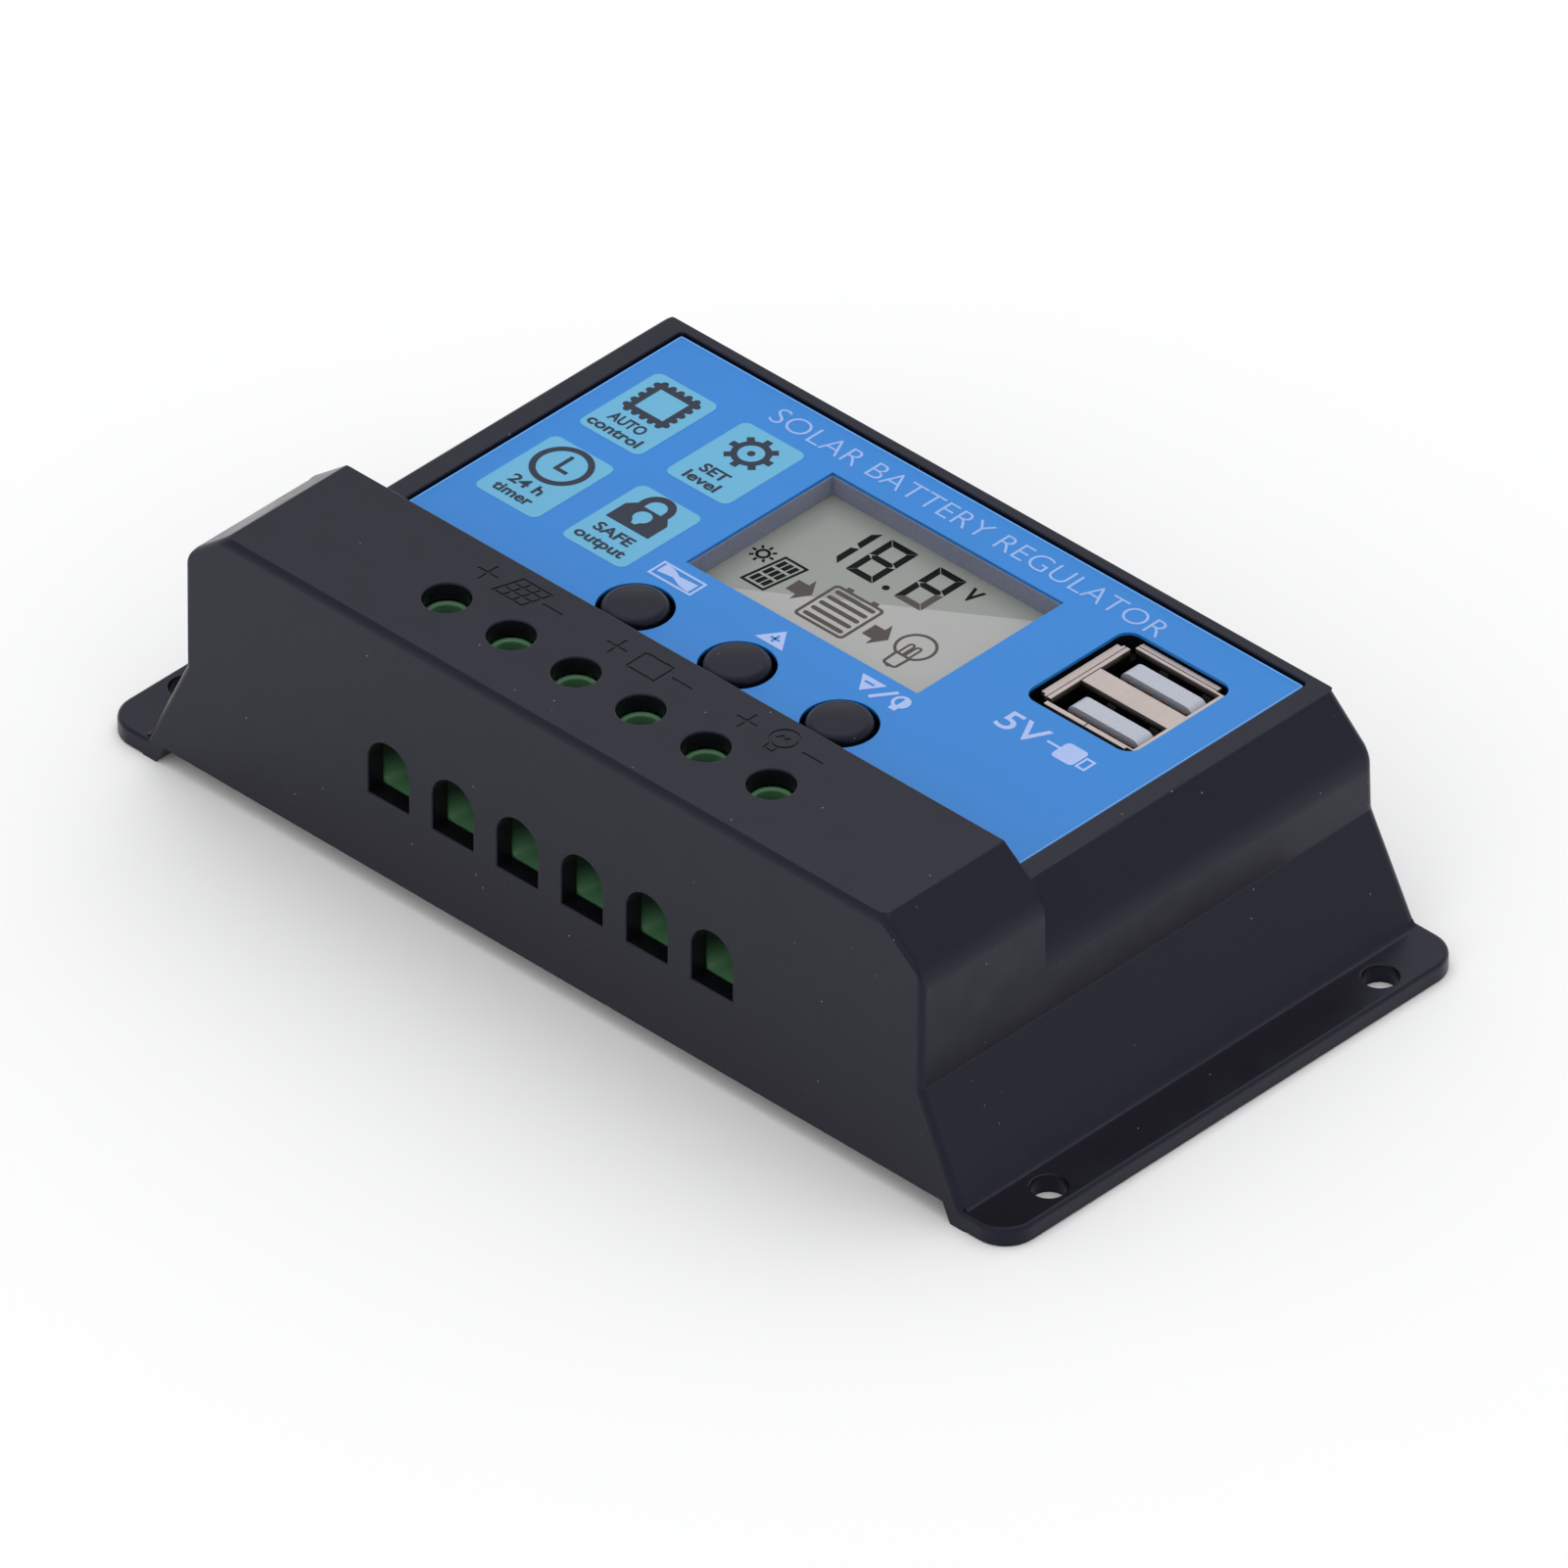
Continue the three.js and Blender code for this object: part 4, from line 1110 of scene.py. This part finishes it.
def squarish(x, y, half, low, high, power):
    """An upright ring that is round at power 1 and nearer to a rectangle the smaller the power is."""
    middle, tall = (low + high) / 2, (high - low) / 2
    turns = [(cos(step * pi / 16), sin(step * pi / 16)) for step in range(32)]
    return [(x + half * copysign(abs(c) ** power, c), y, middle + tall * copysign(abs(s) ** power, s))
            for c, s in turns]


def lead_in(x):
    """The funnel from the case's wire entry to the clamp: a nearly square mouth and a round throat."""
    wide, throat = (3.4, 12.2, 20.2, 0.3), (2.2, 13.1, 18.9, 1.0)
    return loft([squarish(x, -CASE_DEPTH, *wide), squarish(x, front_at(SLOT_SILL) + END_WALL, *wide),
                 squarish(x, -28.3, *throat)])


def terminal_block(name, screws):
    low, high = span(f"terminal_block_{name}")
    bottom, top = low.z, high.z - 1.6
    front = [(front_at(z) + END_WALL + 0.2, z) for z in (bottom, top)]
    body = make(f"block_{name}", along_x([front[0], (high.y, bottom), (high.y, top), front[1]],
                                         low.x, high.x))
    bevel_all(body, 0.25)
    collar, cut, bore, screw_top = 2.6, 0.15, 1.95, 27.4
    rim = [(0, top - 1), (collar, top - 1), (collar, high.z - cut), (collar - cut, high.z), (0, high.z)]
    for at in screws:
        unite(body, lathe(rim, at.x, SCREW_Y))
        carve(body, block(at.x - 3.75, at.x + 3.75, -29.3, -21.9, 12.2, screw_top),
              lead_in(at.x),
              block(at.x - 2.5, at.x + 2.5, -22.9, -19.9, bottom - 1, 20.2),
              rod(at.x, SCREW_Y, 2.6, 26.4, 29.9, 48),
              flared(lambda g: circle(at.x, SCREW_Y, bore + g), screw_top, high.z, 0.32))
    finished(body, "terminal_plastic", f"terminal_block_{name}")


def thread(z, top, pitch, turn):
    """Profile of a thread from z to top, each turn given by its radii and their rises."""
    points = []
    while z < top:
        points += [(r, z + rise) for r, rise in turn]
        z += pitch
    return points


def terminal_screw(i, at):
    low, high = span(f"terminal_screw_{i}")
    head, neck_z, pitch = 2.3, 27.5, 0.7
    profile = [(0, low.z), (1.0, low.z)] + thread(low.z + 0.8, 26.6, pitch, ((1.7, 0), (1.42, pitch / 2)))
    profile += [(1.5, neck_z), (head, neck_z), (head, high.z - 0.35), (2.2, high.z - 0.12),
                (1.95, high.z), (0, high.z)]
    body = make(f"clamp_screw_{i}", lathe(profile, at.x, SCREW_Y, 48))
    carve(body, *cross(at.x, SCREW_Y, 1.5, 3, 0.35, high.z - 1, high.z + 1))
    finished(body, "terminal_screw_steel", f"terminal_screw_{i}", f"screw_{i}")


for k, name in enumerate(("solar", "battery", "load")):
    terminal_block(name, [SCREWS[2 * k + 1], SCREWS[2 * k + 2]])
for i, at in SCREWS.items():
    terminal_screw(i, at)


# ---------- USB socket

usb_low, usb_high = span("usb_shell")
USB_MIDDLE = usb_low.y + 7.4
PORT_X0, PORT_X1 = usb_low.x + 1.64, usb_high.x - 0.51
PORT_NEAR, PORT_FAR = 1.45, 6.6  # edges of a port, from the middle of the socket
PORT_FLOOR = 14.4
TONGUE_X0, TONGUE_X1 = PORT_X0 + 1.56, PORT_X1 - 0.34
TONGUE_Y = 4.05  # middle of a tongue, from the middle of the socket
TONGUE_THICK = 2.3


def usb_case():
    """Folded steel shell: raised strips left and back, open corners, and a divider between the ports."""
    x0, x1, left, right, top, y = PORT_X0, PORT_X1, usb_low.x, usb_high.x, usb_high.z, USB_MIDDLE
    front, back = usb_low.y - 1, usb_high.y + 1
    strip_z, corner_z, seam_z, over = top - 0.6, top - 1.6, top - 0.35, top + 1
    body = make("usb_case", block(left + 0.65, right, usb_low.y + 0.22, usb_low.y + 14.8, usb_low.z, top))
    unite(body, block(left, x0, y - 5.8, y + 5.8, strip_z, top),
          block(x0 + 0.3, x1 - 0.7, y, usb_high.y, strip_z, top))
    for s in (-1, 1):
        carve(body, block(x0, x1, *sorted((y + s * PORT_NEAR, y + s * PORT_FAR)), PORT_FLOOR - 1, over))
    carve(body, block(x0, x1, y - PORT_FAR, y + PORT_FAR, usb_low.z - 1, PORT_FLOOR + 0.15))
    corners = [block(left - 1, x0 + 0.25, y + 6.1, back, corner_z, over),
               block(left - 1, x0, front, y - 6.1, corner_z, over),
               block(x1 - 0.8, right + 1, y + 6.9, back, corner_z, over),
               block(x1 - 0.8, right + 1, front, y - 6.8, corner_z, over)]
    seams = [block(33.2, 33.36, front, y - PORT_FAR + 0.2, corner_z, over),
             block(left + 0.98, left + 1.1, y - 7, y + 7, seam_z, over),
             block(x0, x1, y + PORT_FAR + 0.42, y + PORT_FAR + 0.54, seam_z, over),
             block(x0 - 0.06, x0 + 0.08, y - PORT_NEAR - 0.2, y + PORT_NEAR + 0.2, top - 1, over)]
    carve(body, *corners, *seams)
    bevel_all(body, 0.14, 3, 40)
    finished(body, "usb_nickel", "usb_shell")


def usb_springs():
    """Bent leaves in the far wall of each port."""
    half, bend = 0.65, 0.75
    leaves = []
    for s in (-1, 1):
        wall = USB_MIDDLE + s * (PORT_NEAR + PORT_FAR) / 2 + (PORT_FAR - PORT_NEAR) / 2
        leaf = [(wall, 21.4), (wall - bend, 23.9), (wall - bend, 24.9), (wall, 25.9)]
        leaves += [along_x(leaf, x - half, x + half) for x in (PORT_X0 + 4.5, PORT_X0 + 10.7)]
    springs = make("usb_springs", merged(leaves))
    bevel_all(springs, 0.12)
    finished(springs, "usb_nickel")


def usb_body():
    """The insulator: a base under the ports and a tongue with rounded top corners in each."""
    low, high = span("usb_insulator")
    base = make("usb_body", block(low.x, high.x, low.y, high.y, low.z, PORT_FLOOR))
    r, top = 1.2, high.z
    outline = [(TONGUE_X0, PORT_FLOOR - 1), (TONGUE_X1, PORT_FLOOR - 1)]
    outline += arc(TONGUE_X1 - r, top - r, r, 0, 90, 5) + arc(TONGUE_X0 + r, top - r, r, 90, 180, 5)
    for s in (-1, 1):
        at = USB_MIDDLE + s * TONGUE_Y
        unite(base, along_y(outline, at - TONGUE_THICK / 2, at + TONGUE_THICK / 2))
    bevel_all(base, 0.7, 5)
    finished(base, "usb_plastic", "usb_insulator")


def usb_contacts():
    """Four flat contacts on the near face of each tongue."""
    half, pitch, top = 0.5, 2.5, span("usb_insulator")[1].z
    pins = []
    for s in (-1, 1):
        face = USB_MIDDLE + s * TONGUE_Y - TONGUE_THICK / 2
        inside, proud = face + 0.1, face - 0.14
        pin = [(inside, 15), (proud, 15.3), (proud, top - 1.0), (inside, top - 0.6)]
        for i in range(4):
            x = (TONGUE_X0 + TONGUE_X1) / 2 + (i - 1.5) * pitch
            pins.append(along_x(pin, x - half, x + half))
    contacts = make("usb_contacts", merged(pins))
    bevel_all(contacts, 0.05)
    finished(contacts, "contact_brass", look="port_copper_painted_shade")


usb_case()
usb_springs()
usb_body()
usb_contacts()


# ---------- underside

def base_plate():
    low, high = span("base_plate")
    sheet = make("bottom_plate", slab(rounded(low.x, high.x, low.y, high.y, 0.8), low.z, high.z))
    holes = [centre(f"case_screw_{i}") for i in range(1, 5)]
    carve(sheet, *[rod(at.x, at.y, 1.6, low.z - 1, high.z + 1, 32) for at in holes])
    bevel_all(sheet, 0.15)
    finished(sheet, "base_metal", "base_plate")


def pan_screw(node, shaft, head, tall):
    """Self-tapping screw with a domed cross-recessed head, pointing up."""
    low, high = span(node)
    x, y = (low.x + high.x) / 2, (low.y + high.y) / 2
    seat, root, tip = low.z + tall, shaft * 0.78, high.z - shaft
    dome = [(head * sin(radians(a)), seat - tall * (0.35 + 0.65 * cos(radians(a))))
            for a in range(15, 91, 15)]
    profile = [(0, low.z)] + dome + [(head, seat), (root, seat)]
    profile += thread(seat + 0.6, tip - 0.3, 1, ((root, 0), (shaft, 0.4), (root, 0.8)))
    profile += [(shaft * 0.7, tip), (shaft * 0.3, high.z), (0, high.z)]
    body = make(f"{node}_detail", lathe(profile, x, y, 48))
    arm = head * 0.6
    carve(body, *cross(x, y, arm, arm, head * 0.13, low.z - 1, low.z + tall * 0.55))
    finished(body, "case_screw_steel", node)


base_plate()
for i in range(1, 5):
    pan_screw(f"case_screw_{i}", 1.3, 2.7, 1.6)
for i in (1, 2):
    pan_screw(f"board_screw_{i}", 1.0, 2.1, 1.4)


# ---------- CAD nodes that keep their shape

slot_of = {s["node"]: s["material_slot"] for s in frame["record"]["subparts"]}
for node, obj in frame["nodes"].items():
    obj.data.materials.clear()
    obj.data.materials.append(MATERIALS[slot_of[node]])


# ---------- floor, light and camera

def studio():
    half = 6000
    floor = make("floor", block(-half, half, -half, half, -20, case_low.z))
    floor.data.transform(Matrix.Scale(MM, 4))
    g = Graph()
    tone = g.noise(0.4, 2.0)
    g.set(Base_Color=g.blend(tone, (0.93, 0.93, 0.93, 1), (0.95, 0.95, 0.95, 1)),
          Roughness=g.ranged(tone, 0.3, 0.7, 0.85, 0.95), Specular_IOR_Level=0.1)
    g.material.name = "floor_paper"
    floor.data.materials.append(g.material)

    world = bpy.data.worlds.new("studio")
    world.use_nodes = True
    sky = world.node_tree.nodes["Background"]
    sky.inputs["Color"].default_value = (1, 1, 1, 1)
    sky.inputs["Strength"].default_value = 0.84
    scene.world = world

    def softbox(name, place, size, power, tint=(1, 1, 1)):
        light = bpy.data.lights.new(name, "AREA")
        light.shape = "RECTANGLE"
        light.size, light.size_y = size
        light.energy = power
        light.color = tint
        obj = placed(name, light)
        obj.location = place
        obj.rotation_euler = (target - Vector(place)).to_track_quat("-Z", "Y").to_euler()

    target = Vector((0, 0, 0.01))
    softbox("overhead", (-0.25, 0.25, 1.3), (1.6, 1.6), 6, (0.96, 0.98, 1.0))
    softbox("front", (0.2, -1.5, 0.9), (1.4, 0.8), 1.5)


def camera():
    """The photo's viewpoint, far away with a long lens."""
    data = bpy.data.cameras.new("camera")
    data.sensor_width = 36
    data.lens = 30563 / 1601 * 36
    data.clip_end = 100
    data.dof.use_dof = False
    obj = placed("camera", data)
    obj.location = Vector((1775.8, -1828.6, 1897.3)) * MM
    aim = (Vector((-2.75, 3.55, 5.1)) * MM - obj.location).to_track_quat("-Z", "Y").to_matrix()
    roll = Matrix.Rotation(radians(-0.206), 3, "Z")
    obj.rotation_euler = (aim @ roll).to_euler()
    scene.camera = obj


studio()
camera()
scene.view_settings.view_transform = "Standard"
